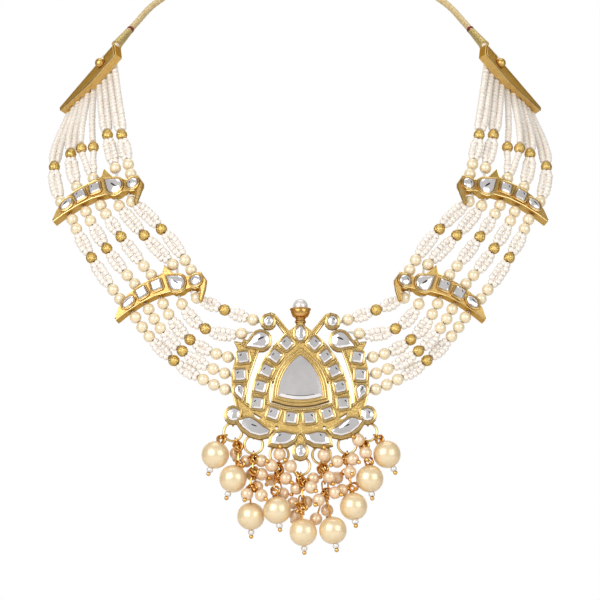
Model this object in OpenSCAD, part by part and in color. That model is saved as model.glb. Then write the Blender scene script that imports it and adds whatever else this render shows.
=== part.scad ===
// Kundan necklace: a stone-set pendant with a cluster of pearl drops, five strands of pearls and
// seed-bead strings a side, four bird-shaped spacers, two end plates and a cord round the neck.
// The origin is the inner middle of the cord at the nape, +Z is up and the front faces -Y.

/* [Pendant] */
// Height of the border plate from its lower corners to its peak
plate_h = 31.8; // [30:0.1:34]
// Width of the border plate across its lower corners
plate_w = 37.2; // [35:0.1:40]
// How far each side of the border plate bulges
plate_bulge = 4.7; // [4:0.1:5.4]
// How far the bottom edge of the border plate bulges
plate_sag = 6.2; // [5.4:0.1:7]
// Thickness of the cast frames behind the rims
frame_t = 3.2; // [2.8:0.1:4.5]
// Drop from the nape to the lower corners of the plate
pendant_drop = 160.5; // [154:0.5:167]
// Distance from the nape forward to the back of the pendant
pendant_reach = 118; // [112:1:124]
// Lean of the pendant's top towards the chest, in degrees
pendant_tilt = 10; // [4:1:16]
// Width of the flared cup over the peak
cup_w = 7.4; // [6.4:0.1:8.4]
// Diameter of the pearl on the peak
finial_d = 5.4; // [4.6:0.1:6]

/* [Stones] */
// Side of a square stone
square_side = 3.8; // [3.5:0.1:4.2]
// Height of the big centre stone
centre_h = 15; // [14:0.1:16]
// Width of the big centre stone across its lower corners
centre_w = 16; // [14.5:0.1:17]
// Width of the bright rim round a stone
rim_w = 0.75; // [0.6:0.05:0.9]
// How far a rim stands over the frame's face
rim_h = 0.45; // [0.3:0.05:0.7]
// Depth of a stone's seat under the rim's top
seat_depth = 1.5; // [1.2:0.1:1.8]
// How far a stone's table stands over its rim
table_h = 0.5; // [0.3:0.05:0.8]

/* [Spacers] */
// Length of a spacer from the middle of its head stone to its tail's tip
spacer_l = 32.6; // [30:0.1:35]
// Depth of a spacer's box setting
spacer_t = 3.8; // [3.6:0.1:4.8]

/* [End plates] */
// Length of an end plate
bar_l = 32; // [30.5:0.5:35]
// Width of an end plate along the strings
bar_w = 8; // [6.5:0.1:9]
// Thickness of an end plate
bar_t = 3; // [2.6:0.1:3.6]

/* [Beads] */
// Diameter of a strand pearl
pearl_d = 4.3; // [3.9:0.05:4.5]
// Diameter of a gold bead
gold_d = 4.1; // [3.7:0.05:4.4]
// Diameter of a seed-bead string
seed_d = 2.2; // [1.9:0.05:2.3]
// Diameter of a thread
thread_d = 0.44; // [0.36:0.02:0.5]
// Clear space between neighbouring beads
bead_gap = 0.12; // [0.1:0.02:0.2]

/* [Drops] */
// Diameter of a big drop pearl
drop_d = 10; // [9.4:0.1:10.1]
// Diameter of a small cluster pearl
small_d = 4.6; // [4.2:0.05:4.65]
// Mean radius of a jump ring
ring_r = 3.3; // [3.1:0.05:3.4]
// Diameter of a jump ring's wire
ring_wire = 0.9; // [0.8:0.02:1]
// Diameter of a drop's wire
drop_wire = 0.6; // [0.5:0.02:0.64]

/* [Cord] */
// Diameter of the neck cord
cord_d = 2.4; // [2:0.1:2.8]
// Length of a cord sleeve
sleeve_l = 10.4; // [9:0.1:12]
// Diameter of a sleeve's wide mouth
sleeve_d = 3.5; // [3.2:0.1:4]
// Length of the wrap between sleeve and cord
wrap_l = 1.3; // [1:0.1:1.8]

/* [Hidden] */
$fn = 32;

GOLD = [0.85, 0.66, 0.27];
STONE = [0.83, 0.84, 0.86];
CREAM = [0.93, 0.84, 0.68];
SEED = [0.95, 0.92, 0.88];
MAROON = [0.45, 0.07, 0.12];

clear = 0.1;                         // slack between a piece and its seat
string_gap = 0.16;                   // clear space between the two threads of a strand
thread_off = (thread_d + string_gap) / 2;
bead_bore_d = 2 * (thread_off + thread_d / 2) + 0.26;
bore_level = bead_bore_d / 2 + 0.45; // height of a strand's hole over a casting's back
seed_off = seed_d / 2 + 0.12;        // half the distance between two strings where they spread
anchor = 2.2;                        // depth of a strand's hole in the pendant and the end plates
overlap = 0.3;                       // how far raised parts reach into the castings

// Plain vector and outline functions
function unit(v) = v / norm(v);
function mix(a, b, t) = a + (b - a) * t;
function total(v, i = 0) = i == len(v) - 1 ? v[i] : v[i] + total(v, i + 1);
function place2(pts, at, turn) =
    [for (p = pts) at + [p.x * cos(turn) - p.y * sin(turn), p.x * sin(turn) + p.y * cos(turn)]];
function arc(centre, r, a0, a1, n) =
    [for (i = [0:n]) centre + r * [cos(mix(a0, a1, i / n)), sin(mix(a0, a1, i / n))]];
// An arc from a to b that bulges to the right of the way from a to b
function bulged(a, b, sag, n) =
    let (chord = norm(b - a), r = (chord * chord / 4 + sag * sag) / (2 * sag),
         along = unit(b - a), out = [along.y, -along.x],
         centre = (a + b) / 2 - out * (r - sag),
         half = asin(chord / 2 / r), mid = atan2(out.y, out.x))
    arc(centre, r, mid - half, mid + half, n);
function ring_without_last(pts) = [for (i = [0:len(pts) - 2]) pts[i]];
// A counterclockwise outline, moved outward by d
function grown(pts, d) =
    let (n = len(pts))
    [for (i = [0:n - 1])
        let (e1 = unit(pts[i] - pts[(i + n - 1) % n]), e2 = unit(pts[(i + 1) % n] - pts[i]),
             n1 = [e1.y, -e1.x], n2 = [e2.y, -e2.x])
        pts[i] + d * (n1 + n2) / max(0.7, 1 + n1 * n2)];

// Outlines of the stones round their own middle, counterclockwise
function square_cut(side) =
    let (h = side / 2, c = side * 0.09)
    [[h, -h + c], [h, h - c], [h - c, h], [-h + c, h], [-h, h - c], [-h, -h + c], [-h + c, -h], [h - c, -h]];
function round_cut(l, w) = [for (i = [0:11]) [l / 2 * cos(30 * i), w / 2 * sin(30 * i)]];
// A drop with its point along +x, the middle of its round end at the origin
function drop_cut(l, w) =
    let (r = w / 2, tip = l - r, a = acos(r / tip))
    concat([[tip, 0]], arc([0, 0], r, a, 360 - a, 10));
function leaf_cut(l, w) =
    [for (i = [0:13])
        let (a = i * 360 / 14, s = sin(a)) [l / 2 * cos(a), w / 2 * s * pow(abs(s), 0.25)]];
// The curved triangle: peak up, sides and bottom bulging, counterclockwise from the peak
function shield(w, h, bulge, sag) =
    concat(ring_without_last(bulged([0, h], [-w / 2, 0], bulge, 6)),
           ring_without_last(bulged([-w / 2, 0], [w / 2, 0], sag, 6)),
           ring_without_last(bulged([w / 2, 0], [0, h], bulge, 6)));

// A stone is [outline, how far its crown slopes in]. A row is [cut, across, up, turn, length,
// width], with lengths as shares of unit and sizes as shares of a square stone's side.
function stone(row, unit) =
    let (l = row[4] * square_side, w = row[5] * square_side,
         pts = row[0] == "square" ? square_cut(l) : row[0] == "round" ? round_cut(l, w) :
               row[0] == "drop" ? drop_cut(l, w) : leaf_cut(l, w))
    [place2(pts, [row[1], row[2]] * unit, row[3]), w * 0.2];
function mirrored(s) =
    let (n = len(s[0])) [[for (i = [n - 1:-1:0]) [-s[0][i].x, s[0][i].y]], s[1]];
function both_sides(list) = concat(list, [for (s = list) mirrored(s)]);

// A frame of axes is [origin, x, y, z], with z as near a wanted direction as x allows
function axes(origin, x_way, z_way) =
    let (x = unit(x_way), z = unit(z_way - (z_way * x) * x))
    [origin, x, cross(z, x), z];
function on(frame, p) = frame[0] + frame[1] * p.x + frame[2] * p.y + frame[3] * p.z;
module placed(frame) {
    multmatrix([for (k = [0:2]) [frame[1][k], frame[2][k], frame[3][k], frame[0][k]]]) children();
}
module along(from, to) {
    way = to - from;
    translate(from) rotate([0, acos(way.z / norm(way)), atan2(way.y, way.x)]) children();
}
module rod(from, to, d) { along(from, to) cylinder(d = d, h = norm(to - from)); }

// A solid through a stack of rings with the same number of points
module lofted(rings) {
    n = len(rings[0]);
    m = len(rings);
    points = concat([for (ring = rings) for (p = ring) p],
                    [total(rings[0]) / n, total(rings[m - 1]) / n]);
    faces = concat(
        [for (i = [0:n - 1]) [m * n, i, (i + 1) % n]],
        [for (k = [0:m - 2]) for (i = [0:n - 1]) [k * n + i, (k + 1) * n + i, k * n + (i + 1) % n]],
        [for (k = [0:m - 2]) for (i = [0:n - 1])
            [k * n + (i + 1) % n, (k + 1) * n + i, (k + 1) * n + (i + 1) % n]],
        [for (i = [0:n - 1]) [m * n + 1, (m - 1) * n + (i + 1) % n, (m - 1) * n + i]]);
    polyhedron(points = points, faces = faces);
}
function level(pts, z) = [for (p = pts) [p.x, p.y, z]];
// A tube through [point, radius, direction] rings
function ring_at(ring, sides) =
    let (way = unit(ring[2]), across = unit(cross(way, [0, -1, 0.2])), up = cross(way, across))
    [for (k = [0:sides - 1])
        ring[0] + ring[1] * (cos(360 * k / sides) * across + sin(360 * k / sides) * up)];
module tube(list, sides = 8) { lofted([for (ring = list) ring_at(ring, sides)]); }
function directed(list) =
    let (n = len(list))
    [for (i = [0:n - 1]) [list[i][0], list[i][1], list[min(i + 1, n - 1)][0] - list[max(i - 1, 0)][0]]];

// Stones, rims and seats over a casting of thickness t
module rims(stones, t, w = rim_w) {
    for (s = stones)
        translate([0, 0, t - overlap])
            linear_extrude(rim_h + overlap) polygon(grown(s[0], w));
}
module seats(stones, t) {
    for (s = stones)
        translate([0, 0, t + rim_h - seat_depth])
            linear_extrude(seat_depth + 1) polygon(grown(s[0], clear));
}
module stone_solid(pts, t, crown) {
    foot = t + rim_h - seat_depth + clear;
    girdle = t + rim_h + table_h * 0.3;
    top = t + rim_h + table_h;
    lofted([level(pts, foot), level(pts, girdle), level(grown(pts, -crown), top)]);
}
module stones(list, t) {
    color(STONE) for (s = list) stone_solid(s[0], t, s[1]);
}

// Pendant, drawn with x across and y up in its own plane
pendant_axes = [[0, -pendant_reach, -pendant_drop], [1, 0, 0],
                [0, sin(pendant_tilt), cos(pendant_tilt)], [0, -cos(pendant_tilt), sin(pendant_tilt)]];
half_w = plate_w / 2;
setting_w = rim_w + 0.35;
side_chord = norm([half_w, plate_h]);
side_r = (side_chord * side_chord / 4 + plate_bulge * plate_bulge) / (2 * plate_bulge);
side_out = [-plate_h, half_w] / side_chord;
side_centre = [-half_w, plate_h] / 2 - side_out * (side_r - plate_bulge);
bottom_r = (half_w * half_w + plate_sag * plate_sag) / (2 * plate_sag);
bottom_centre = [0, bottom_r - plate_sag];
border_in = square_side / 2 + setting_w;   // from the plate's edge to the middle of its stones
side_start = 134.5;                        // direction of the first square on a side
side_step = 10;                            // degrees from square to square on a side
bottom_step = 13.5;                        // degrees from square to square along the bottom
side_squares = [for (i = [0:4])
    let (a = side_start + side_step * i, p = side_centre + (side_r - border_in) * [cos(a), sin(a)])
    stone(["square", p.x, p.y, a, 1, 1], 1)];
bottom_squares = [for (i = [-1.5:1:1.5])
    let (a = -90 + bottom_step * i, p = bottom_centre + (bottom_r - border_in) * [cos(a), sin(a)])
    stone(["square", p.x, p.y, a, 1, 1], 1)];
border_list = concat(both_sides(side_squares), bottom_squares);
peak_list = [stone(["leaf", 0, 0.872, 90, 1.38, 1.02], plate_h)];

// Wing stones: cut, across and up as shares of the plate's height, turn, length and width as
// shares of a square's side
WING = [
    ["round", -0.362, 1.014,    0, 0.95, 0.95],
    ["drop",  -0.446, 0.796,  202, 2.22, 1.54],
    ["square", -0.646, 0.600,   9, 1.00, 1.00],
    ["square", -0.680, 0.398,   5, 1.00, 1.00],
    ["drop",  -0.690, 0.222,  -74, 1.42, 0.98]];
wing_list = [for (r = WING) stone(r, plate_h)];
// Outlines of the two leaf-shaped stones of the lower row, as shares of the plate's height
OUTER_LEAF = [[-0.697, -0.131], [-0.653, -0.201], [-0.564, -0.272], [-0.462, -0.301],
              [-0.372, -0.281], [-0.346, -0.239], [-0.424, -0.198], [-0.487, -0.143],
              [-0.545, -0.104], [-0.615, -0.096]];
INNER_LEAF = [[-0.328, -0.385], [-0.254, -0.401], [-0.153, -0.390], [-0.075, -0.344],
              [-0.050, -0.289], [-0.117, -0.278], [-0.191, -0.261], [-0.274, -0.271],
              [-0.314, -0.318]];
leaf_slope = square_side * 0.22;
corner_drop = stone(["drop", -0.757, -0.058, 30, 1.32, 1.20], plate_h);
lower_left = [corner_drop, [OUTER_LEAF * plate_h, leaf_slope], [INNER_LEAF * plate_h, leaf_slope]];
bottom_oval = stone(["round", 0, -0.475, 90, 1.13, 1.02], plate_h);
lower_list = concat(both_sides(lower_left), [bottom_oval]);
// The wing's band from its drop down to the lower corner: across, up and half width as shares
// of the plate's height
WING_BAND = [[-0.545, 0.775, 0.105], [-0.618, 0.599, 0.113], [-0.675, 0.398, 0.105],
             [-0.688, 0.210, 0.086], [-0.665, 0.050, 0.070], [-0.560, -0.040, 0.070]];
centre_foot = plate_h * 0.152;   // height of the centre stone's lower corners over the plate's
centre_pts = [for (p = shield(centre_w, centre_h, centre_h * 0.14, centre_w * 0.085))
    p + [0, centre_foot]];
slot_w = 0.65;                   // width of the open slot under the centre setting
bezel_w = 2.25;                  // width of the stepped bezel round the centre stone

function band_side(rows, hand) =
    [for (i = [0:len(rows) - 1])
        let (a = rows[max(i - 1, 0)], b = rows[min(i + 1, len(rows) - 1)],
             way = unit([b.x - a.x, b.y - a.y]))
        [rows[i].x, rows[i].y] + hand * rows[i][2] * [-way.y, way.x]];
module wing_plan() {
    right_edge = band_side(WING_BAND, 1);
    left_edge = band_side(WING_BAND, -1);
    n = len(left_edge);
    polygon([for (p = concat(right_edge, [for (i = [n - 1:-1:0]) left_edge[i]])) p * plate_h]);
    for (k = [0, 1]) polygon(grown(wing_list[k][0], setting_w));
    polygon(grown(corner_drop[0], setting_w));
    // the web that joins the wing, the plate and the corner drop
    polygon(plate_h * [[-0.720, 0.070], [-0.780, -0.060], [-0.600, -0.140], [-0.520, -0.060],
                       [-0.560, 0.060], [-0.620, 0.075]]);
    // the beak, from the head stone down to the plate, and the fin behind the drop
    polygon(plate_h * [[-0.350, 1.115], [-0.285, 1.098], [-0.050, 0.810], [-0.118, 0.795], [-0.262, 0.985]]);
    polygon(plate_h * [[-0.748, 0.785], [-0.680, 0.640], [-0.590, 0.760]]);
}
module plate_plan() {
    polygon(shield(plate_w, plate_h, plate_bulge, plate_sag));
    polygon(concat(arc(bottom_centre, bottom_r + 2.5, -119, -61, 12), [[0, plate_h * 0.2]]));
    for (s = lower_list) polygon(grown(s[0], setting_w));
    polygon(plate_h * [[-0.100, -0.290], [-0.055, -0.430], [0.055, -0.430], [0.100, -0.290]]);
}
module pendant_plan() {
    difference() {
        union() {
            plate_plan();
            wing_plan();
            mirror([1, 0]) wing_plan();
        }
        // the open slot round the lower half of the centre setting
        intersection() {
            difference() {
                polygon(grown(centre_pts, bezel_w + slot_w));
                polygon(grown(centre_pts, bezel_w));
            }
            translate([-half_w, -plate_h * 0.2]) square([plate_w, plate_h * 0.515]);
        }
        for (hand = [-1, 1]) translate([hand * plate_h * 0.270, -plate_h * 0.205]) circle(d = 1.3);
    }
}
cup_foot = plate_h - 0.8;        // the cup's foot in the plate's plane
cup_parts = [0, 0.42, 0.72, 0.82] * cup_w;  // heights of its stem, bowl and lip
finial_height = cup_foot + cup_parts[3] + finial_d * 0.16;
module finial_cup() {
    stem_d = cup_w * 0.44;
    translate([0, cup_foot, frame_t / 2]) rotate([-90, 0, 0]) difference() {
        rotate_extrude() polygon([[0, 0], [stem_d / 2, 0], [stem_d / 2 * 0.95, cup_parts[1]],
            [cup_w * 0.44, cup_parts[2]], [cup_w / 2, cup_parts[2] + 0.25],
            [cup_w / 2, cup_parts[3]], [0, cup_parts[3]]]);
        translate([0, 0, finial_height - cup_foot]) sphere(d = finial_d + 2 * clear);
    }
}
// Jump rings on the left and in the middle: across and up as shares of the plate's height
RINGS = [[-0.762, -0.236], [-0.529, -0.382], [-0.239, -0.497], [0.004, -0.624]];
ring_list = [for (r = concat(RINGS, [for (i = [2:-1:0]) [-RINGS[i].x, RINGS[i].y]])) r * plate_h];
ring_plane = -ring_wire / 2 - 0.35;
eyelet_r = ring_wire / 2 + 0.2 + 0.35;
module torus(r, wire) { rotate_extrude() translate([r, 0]) circle(d = wire); }
set_stones = concat(border_list, lower_list, both_sides(wing_list), peak_list);
module pendant_frame() {
    color(GOLD) placed(pendant_axes) difference() {
        union() {
            linear_extrude(frame_t) pendant_plan();
            rims(set_stones, frame_t);
            translate([0, 0, frame_t - overlap]) {
                linear_extrude(overlap + rim_h) polygon(grown(centre_pts, bezel_w - 0.1));
                linear_extrude(overlap + rim_h * 2) polygon(grown(centre_pts, bezel_w * 0.5));
            }
            finial_cup();
            for (c = ring_list)
                translate([c.x, c.y + ring_r, ring_plane]) rotate([0, 90, 0]) torus(eyelet_r, 0.7);
        }
        seats(set_stones, frame_t);
        translate([0, 0, frame_t + 2 * rim_h - seat_depth])
            linear_extrude(seat_depth + 1) polygon(grown(centre_pts, clear));
        for (i = [0:4]) for (hand = [1, -1]) mirror([hand - 1, 0, 0]) anchor_hole(i);
    }
}
module centre_stone() {
    floor_z = frame_t + 2 * rim_h - seat_depth + clear;
    top = frame_t + 2 * rim_h;
    color(STONE) placed(pendant_axes)
        lofted([level(centre_pts, floor_z), level(centre_pts, top + 0.1),
                level(grown(centre_pts, -1.2), top + table_h),
                level(grown(centre_pts, -3), top + table_h * 1.6)]);
}
module peak_stone() { placed(pendant_axes) stones(peak_list, frame_t); }
module border_stones() { placed(pendant_axes) stones(border_list, frame_t); }
module wing_stones(hand) { mirror([hand, 0, 0]) placed(pendant_axes) stones(wing_list, frame_t); }
module lower_stones() { placed(pendant_axes) stones(lower_list, frame_t); }
module finial_pearl() {
    color(SEED) placed(pendant_axes) translate([0, finial_height, frame_t / 2]) sphere(d = finial_d);
}

// Spacers, drawn with the head stone at the origin, the tail along -x and the crest up
lower_head = [-37.7, -112, -113.4];
lower_tip = [-66.8, -107, -127.5];
upper_head = [-60.6, -92, -78.4];
upper_tip = [-89.6, -85, -92];
// A casting's frame, with the given origin on its face instead of its back
function backed(frame) = [frame[0] - spacer_t * frame[3], frame[1], frame[2], frame[3]];
spacer_axes = [backed(axes(lower_head, lower_head - lower_tip, [-0.15, -0.88, 0.42])),
               backed(axes(upper_head, upper_head - upper_tip, [-0.24, -0.82, 0.50]))];
// Spacer stones: cut, along and up as shares of the spacer's length, turn, length and width as
// shares of a square's side
BIRD = [
    ["round",   0.000, 0.000,    0, 1.06, 1.06],
    ["drop",   -0.206, 0.070,  122, 2.08, 1.50],
    ["square", -0.430, 0.160,   -4, 1.00, 1.00],
    ["square", -0.615, 0.158,    6, 1.00, 1.00],
    ["leaf",   -0.792, 0.124,   24, 1.40, 0.86]];
bird_list = [for (r = BIRD) stone(r, spacer_l)];
module spacer_plan() {
    for (k = [0, 1]) polygon(grown(bird_list[k][0], setting_w));
    // the tail: a bow from the drop to the tip, its lower edge nearly straight
    polygon(spacer_l * concat(
        [[-1.000, -0.012], [-0.860, 0.024], [-0.680, 0.050], [-0.500, 0.052], [-0.290, 0.010]],
        [[-0.250, 0.262], [-0.440, 0.262], [-0.620, 0.254], [-0.780, 0.212], [-0.920, 0.118],
         [-1.000, 0.022]]));
    // the web between the head stone and the drop, and the crest over the drop
    polygon(spacer_l * [[-0.020, 0.080], [-0.140, 0.120], [-0.140, -0.040], [-0.020, -0.070]]);
    polygon(spacer_l * [[-0.190, 0.180], [-0.266, 0.345], [-0.340, 0.240]]);
}
module beak_plan() {
    polygon(spacer_l * [[-0.020, 0.090], [0.085, 0.075], [0.112, -0.050], [0.060, -0.150],
                        [-0.020, -0.255], [-0.055, -0.235], [-0.006, -0.150], [0.016, -0.070]]);
}
beak_level = spacer_t * 0.64;
module spacer(k) {
    color(GOLD) placed(spacer_axes[k]) difference() {
        union() {
            linear_extrude(spacer_t - rim_h) spacer_plan();
            // the beak is thin, so that the first strand passes behind it
            translate([0, 0, beak_level]) linear_extrude(spacer_t - rim_h - beak_level) beak_plan();
            rims(bird_list, spacer_t - rim_h);
        }
        seats(bird_list, spacer_t - rim_h);
        for (i = [0:4]) {
            low = cross_point(i, 0);
            high = cross_point(i, 1);
            rod(low - 8 * unit(high - low), high + 8 * unit(high - low), bead_bore_d);
        }
    }
}
module spacer_stones(k) { placed(spacer_axes[k]) stones(bird_list, spacer_t - rim_h); }

// Where the strands cross a spacer: along and up at its lower edge, along and up at its upper
// edge, as shares of the spacer's length
CROSS = [[-0.122, -0.102, -0.010, 0.104], [-0.262, -0.078, -0.160, 0.268],
         [-0.452, 0.030, -0.435, 0.266], [-0.630, 0.040, -0.642, 0.256], [-0.806, 0.024, -0.862, 0.170]];
function cross_point(i, end) = [CROSS[i][2 * end] * spacer_l, CROSS[i][2 * end + 1] * spacer_l, bore_level];

// End plates, with x from the outer end to the inner end, y along the strings and z under
plate_inner = [-67.3, -50.8, -28];
plate_outer = [-86.1, -40.8, -49.8];
bar_axes = axes(plate_inner, plate_inner - plate_outer, [0.72, 0.36, -0.62]);
bar_pitch = bar_l * 0.0905;
// The hole of a strand's string, with the plate's inner end at x = 0
function hole_at(i, hand) =
    on(bar_axes, [-bar_l * 0.138 - bar_pitch * (2 * i + (1 - hand) / 2), bar_w * 0.4, bar_t]);

// Strands, innermost first. Each has three sections: pendant to lower spacer, lower to upper
// spacer and upper spacer to end plate
// Where a strand leaves the pendant: across and up as shares of the plate's height
ATTACH = [[-0.468, 1.020], [-0.594, 0.894], [-0.750, 0.600], [-0.788, 0.406], [-0.785, 0.218]];
// Pearls at the start and end of each section
PEARLS = [[[1, 1], [2, 1], [2, 0]], [[1, 1], [1, 1], [1, 0]], [[2, 2], [2, 2], [1, 0]],
          [[2, 3], [2, 2], [1, 0]], [[3, 3], [2, 2], [1, 0]]];
// Place of the gold bead along each section
GOLD_AT = [[0.50, 0.54, 0.362], [0.51, 0.50, 0.362], [0.48, 0.54, 0.342], [0.46, 0.50, 0.373],
           [0.50, 0.52, 0.375]];
// How far each section bows from a straight line, across, out and up
BOW = [[[-0.6, 0.8, -0.4], [1.4, -1, 1.4], [-1.2, 0, 2]],
       [[-2.5, -1.8, -5], [-1, -1, 0.1], [-1.4, 0, 2]],
       [[-3, -0.5, -3.9], [-2, -1, 1.2], [-2.2, 0, 2]],
       [[-3, -2.8, -3.4], [-2, -1, 0.2], [-2.9, 0, 2]],
       [[-2.8, -0.8, -3.1], [-1.9, -1, 0.4], [-3.8, 0, 2]]];
split_strand = 2;                 // this strand has two gold beads side by side near the end plate
split_off = (gold_d + 0.3) / 2;
function attach_point(i) = on(pendant_axes, [ATTACH[i].x * plate_h, ATTACH[i].y * plate_h, bore_level]);
function sections(i) = [
    [attach_point(i), on(spacer_axes[0], cross_point(i, 0)), BOW[i][0], 0],
    [on(spacer_axes[0], cross_point(i, 1)), on(spacer_axes[1], cross_point(i, 0)), BOW[i][1], 0],
    [on(spacer_axes[1], cross_point(i, 1)), (hole_at(i, 1) + hole_at(i, -1)) / 2, BOW[i][2], 1]];
// The bow is fullest a little before the middle, and ends flatter than it starts
function bow_point(s, t) = mix(s[0], s[1], t) + 4 * t * (1 - t) * mix(1, 1.6 - 1.1 * t, s[3]) * s[2];
steps = 24;
function way_table(s) =
    [for (k = 0, run = 0; k <= steps;
          k = k + 1, run = run + norm(bow_point(s, k / steps) - bow_point(s, (k - 1) / steps)))
        [run, k / steps]];
function way_length(table) = table[steps][0];
function way_point(s, table, run) = bow_point(s, lookup(run, table));
pitch = pearl_d + bead_gap;
// Distances along a section: the middles of its pearls, then of its gold bead
function pearl_runs(i, k, length) = concat(
    [for (n = [0:1:PEARLS[i][k][0] - 1]) bead_gap + pearl_d / 2 + n * pitch],
    [for (n = [0:1:PEARLS[i][k][1] - 1]) length - bead_gap - pearl_d / 2 - n * pitch]);
function ways(i) = [for (s = sections(i)) [s, way_table(s)]];
module drilled(at, way, d, bore) {
    along(at, at + way) difference() {
        sphere(d = d);
        cylinder(d = bore, h = 2 * d, center = true);
    }
}
module bead(w, run, d, off = 0) {
    a = way_point(w[0], w[1], run - d / 2);
    b = way_point(w[0], w[1], run + d / 2);
    drilled((a + b) / 2 + off * unit(cross(b - a, [0, -1, 0])), b - a, d, bead_bore_d);
}
module strand_pearls(i) {
    w = ways(i);
    color(CREAM) for (k = [0:2])
        for (run = pearl_runs(i, k, way_length(w[k][1]))) bead(w[k], run, pearl_d);
}
module gold_beads() {
    color(GOLD) for (i = [0:4]) {
        w = ways(i);
        for (k = [0:2])
            for (off = k == 2 && i == split_strand ? [-split_off, split_off] : [0])
                bead(w[k], way_length(w[k][1]) * GOLD_AT[i][k], gold_d, off);
    }
}
// Where two strings spread like an eye: share of the way and fullness
EYE = [[0, 0], [0.12, 0.85], [0.5, 1], [0.88, 0.85], [1, 0]];
function string_ring(w, run, off, d, hand) =
    let (p = way_point(w[0], w[1], run),
         way = way_point(w[0], w[1], run + 0.5) - way_point(w[0], w[1], run - 0.5))
    [p + hand * off * unit(cross(way, [0, -1, 0])), d / 2, way];
function eye_rings(w, from, to, off_from, off_to, hand) =
    [for (e = EYE) let (base = mix(off_from, off_to, e[0]), off = mix(base, max(seed_off, base), e[1]))
        string_ring(w, mix(from, to, e[0]), off,
                    e[1] > 0 ? min(seed_d, 2 * off - string_gap) : thread_d, hand)];
function section_rings(i, k, w, hand) =
    let (length = way_length(w[1]), n = PEARLS[i][k], gold = length * GOLD_AT[i][k],
         first = bead_gap / 2 + n[0] * pitch, last = length - bead_gap / 2 - n[1] * pitch,
         off = k == 2 && i == split_strand ? split_off : thread_off)
    concat(
        [for (j = [0:1:n[0] - 1]) string_ring(w, bead_gap / 2 + j * pitch, thread_off, thread_d, hand)],
        eye_rings(w, first, gold - gold_d / 2 - bead_gap / 2, thread_off, off, hand),
        k == 2 ? plate_rings(i, w, gold + gold_d / 2 + bead_gap / 2, off, hand) :
            eye_rings(w, gold + gold_d / 2 + bead_gap / 2, last, off, thread_off, hand),
        k == 2 ? [] : [for (j = [n[1] - 1:-1:0])
            string_ring(w, length - bead_gap / 2 - j * pitch, thread_off, thread_d, hand)]);
// From the last gold bead to the string's own hole in the end plate
TO_PLATE = [[0, 0], [0.06, 1], [0.35, 1], [0.65, 1], [1, 1]];
plate_space = 4.6;                // thread left bare at the end plate
function plate_rings(i, w, from, off, hand) =
    let (length = way_length(w[1]), mid = w[0][1], hole = hole_at(i, hand))
    concat(
        [for (e = TO_PLATE)
            let (share = e[0] * (1 - plate_space / (length - from)), run = mix(from, length, share),
                 near = string_ring(w, run, e[1] > 0 ? max(off, seed_off) : off, 0, hand),
                 far = way_point(w[0], w[1], run) + hole - mid)
            [mix(near[0], far, share), (e[1] > 0 ? seed_d : thread_d) / 2, near[2]]],
        [for (reach = [0, anchor - 0.4]) [hole + reach * plate_way(w), thread_d / 2, plate_way(w)]]);
function plate_way(w) = unit(w[0][1] - way_point(w[0], w[1], way_length(w[1]) - 3));
function pendant_way(w) = unit(way_point(w[0], w[1], 3) - w[0][0]);
function strand_rings(i, hand) =
    let (w = ways(i), start = section_rings(i, 0, w[0], hand), lead = pendant_way(w[0]))
    concat([[start[0][0] - (anchor - 0.4) * lead, thread_d / 2, lead]], start,
           section_rings(i, 1, w[1], hand), section_rings(i, 2, w[2], hand));
module strand_strings(i) { color(SEED) for (hand = [-1, 1]) tube(strand_rings(i, hand)); }
// Holes for the strands, in the frame of the casting that they are cut from
module anchor_hole(i) {
    w = ways(i)[0];
    lead = pendant_way(w);
    to_local = [for (axis = [1:3]) [for (p = [w[0][0] - anchor * lead, w[0][0] + 4 * lead])
        (p - pendant_axes[0]) * pendant_axes[axis]]];
    rod([to_local[0][0], to_local[1][0], to_local[2][0]],
        [to_local[0][1], to_local[1][1], to_local[2][1]], bead_bore_d);
}

// The cord's route from the nape to its wrap on the left, mirrored for the right, chosen by hand
CORD_HALF = [[0, 0, 0], [13, -0.8, -0.3], [25.5, -3.4, -1.6], [37, -7.2, -4.4], [46.5, -12, -8.8],
             [53.9, -17.6, -13.9], [59.3, -24, -19.8], [61.4, -27.2, -22.2]];
cord_shift = [0, cord_d / 2, 0];
n_half = len(CORD_HALF);
route = concat([for (i = [n_half - 1:-1:1]) [-CORD_HALF[i].x, CORD_HALF[i].y, CORD_HALF[i].z] + cord_shift],
               [for (p = CORD_HALF) p + cord_shift]);
function smooth_at(pts, i, t) =
    let (n = len(pts), a = pts[max(i - 1, 0)], b = pts[i], c = pts[i + 1], d = pts[min(i + 2, n - 1)])
    0.5 * (2 * b + (c - a) * t + (2 * a - 5 * b + 4 * c - d) * t * t + (3 * b - a - 3 * c + d) * t * t * t);
cord_rings = concat([for (i = [0:len(route) - 2]) for (t = [0, 0.5]) [smooth_at(route, i, t), cord_d / 2]],
                    [[route[len(route) - 1], cord_d / 2]]);
cord_end = route[0];
sleeve_way = unit(cord_rings[0][0] - cord_rings[1][0]);
wrap_start = cord_end + sleeve_way * clear;
sleeve_start = wrap_start + sleeve_way * (wrap_l + clear);
sleeve_mouth = sleeve_start + sleeve_way * sleeve_l;
boss_d = 3.6;
boss_at = on(bar_axes, [-bar_l * 0.24, bar_w * 0.5, -0.9]);
back_string_d = seed_d * 0.9;
back_way = unit(sleeve_mouth - boss_at);
module neck_cord() { color(GOLD) tube(directed(cord_rings)); }
module cord_wrap() { color(MAROON) rod(wrap_start, wrap_start + sleeve_way * wrap_l, cord_d + 0.25); }
module cord_sleeve() {
    color(GOLD) difference() {
        along(sleeve_start, sleeve_mouth) cylinder(d1 = cord_d + 0.1, d2 = sleeve_d, h = sleeve_l);
        rod(sleeve_mouth - 2 * sleeve_way, sleeve_mouth + sleeve_way, back_string_d + 2 * clear);
    }
}
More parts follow.
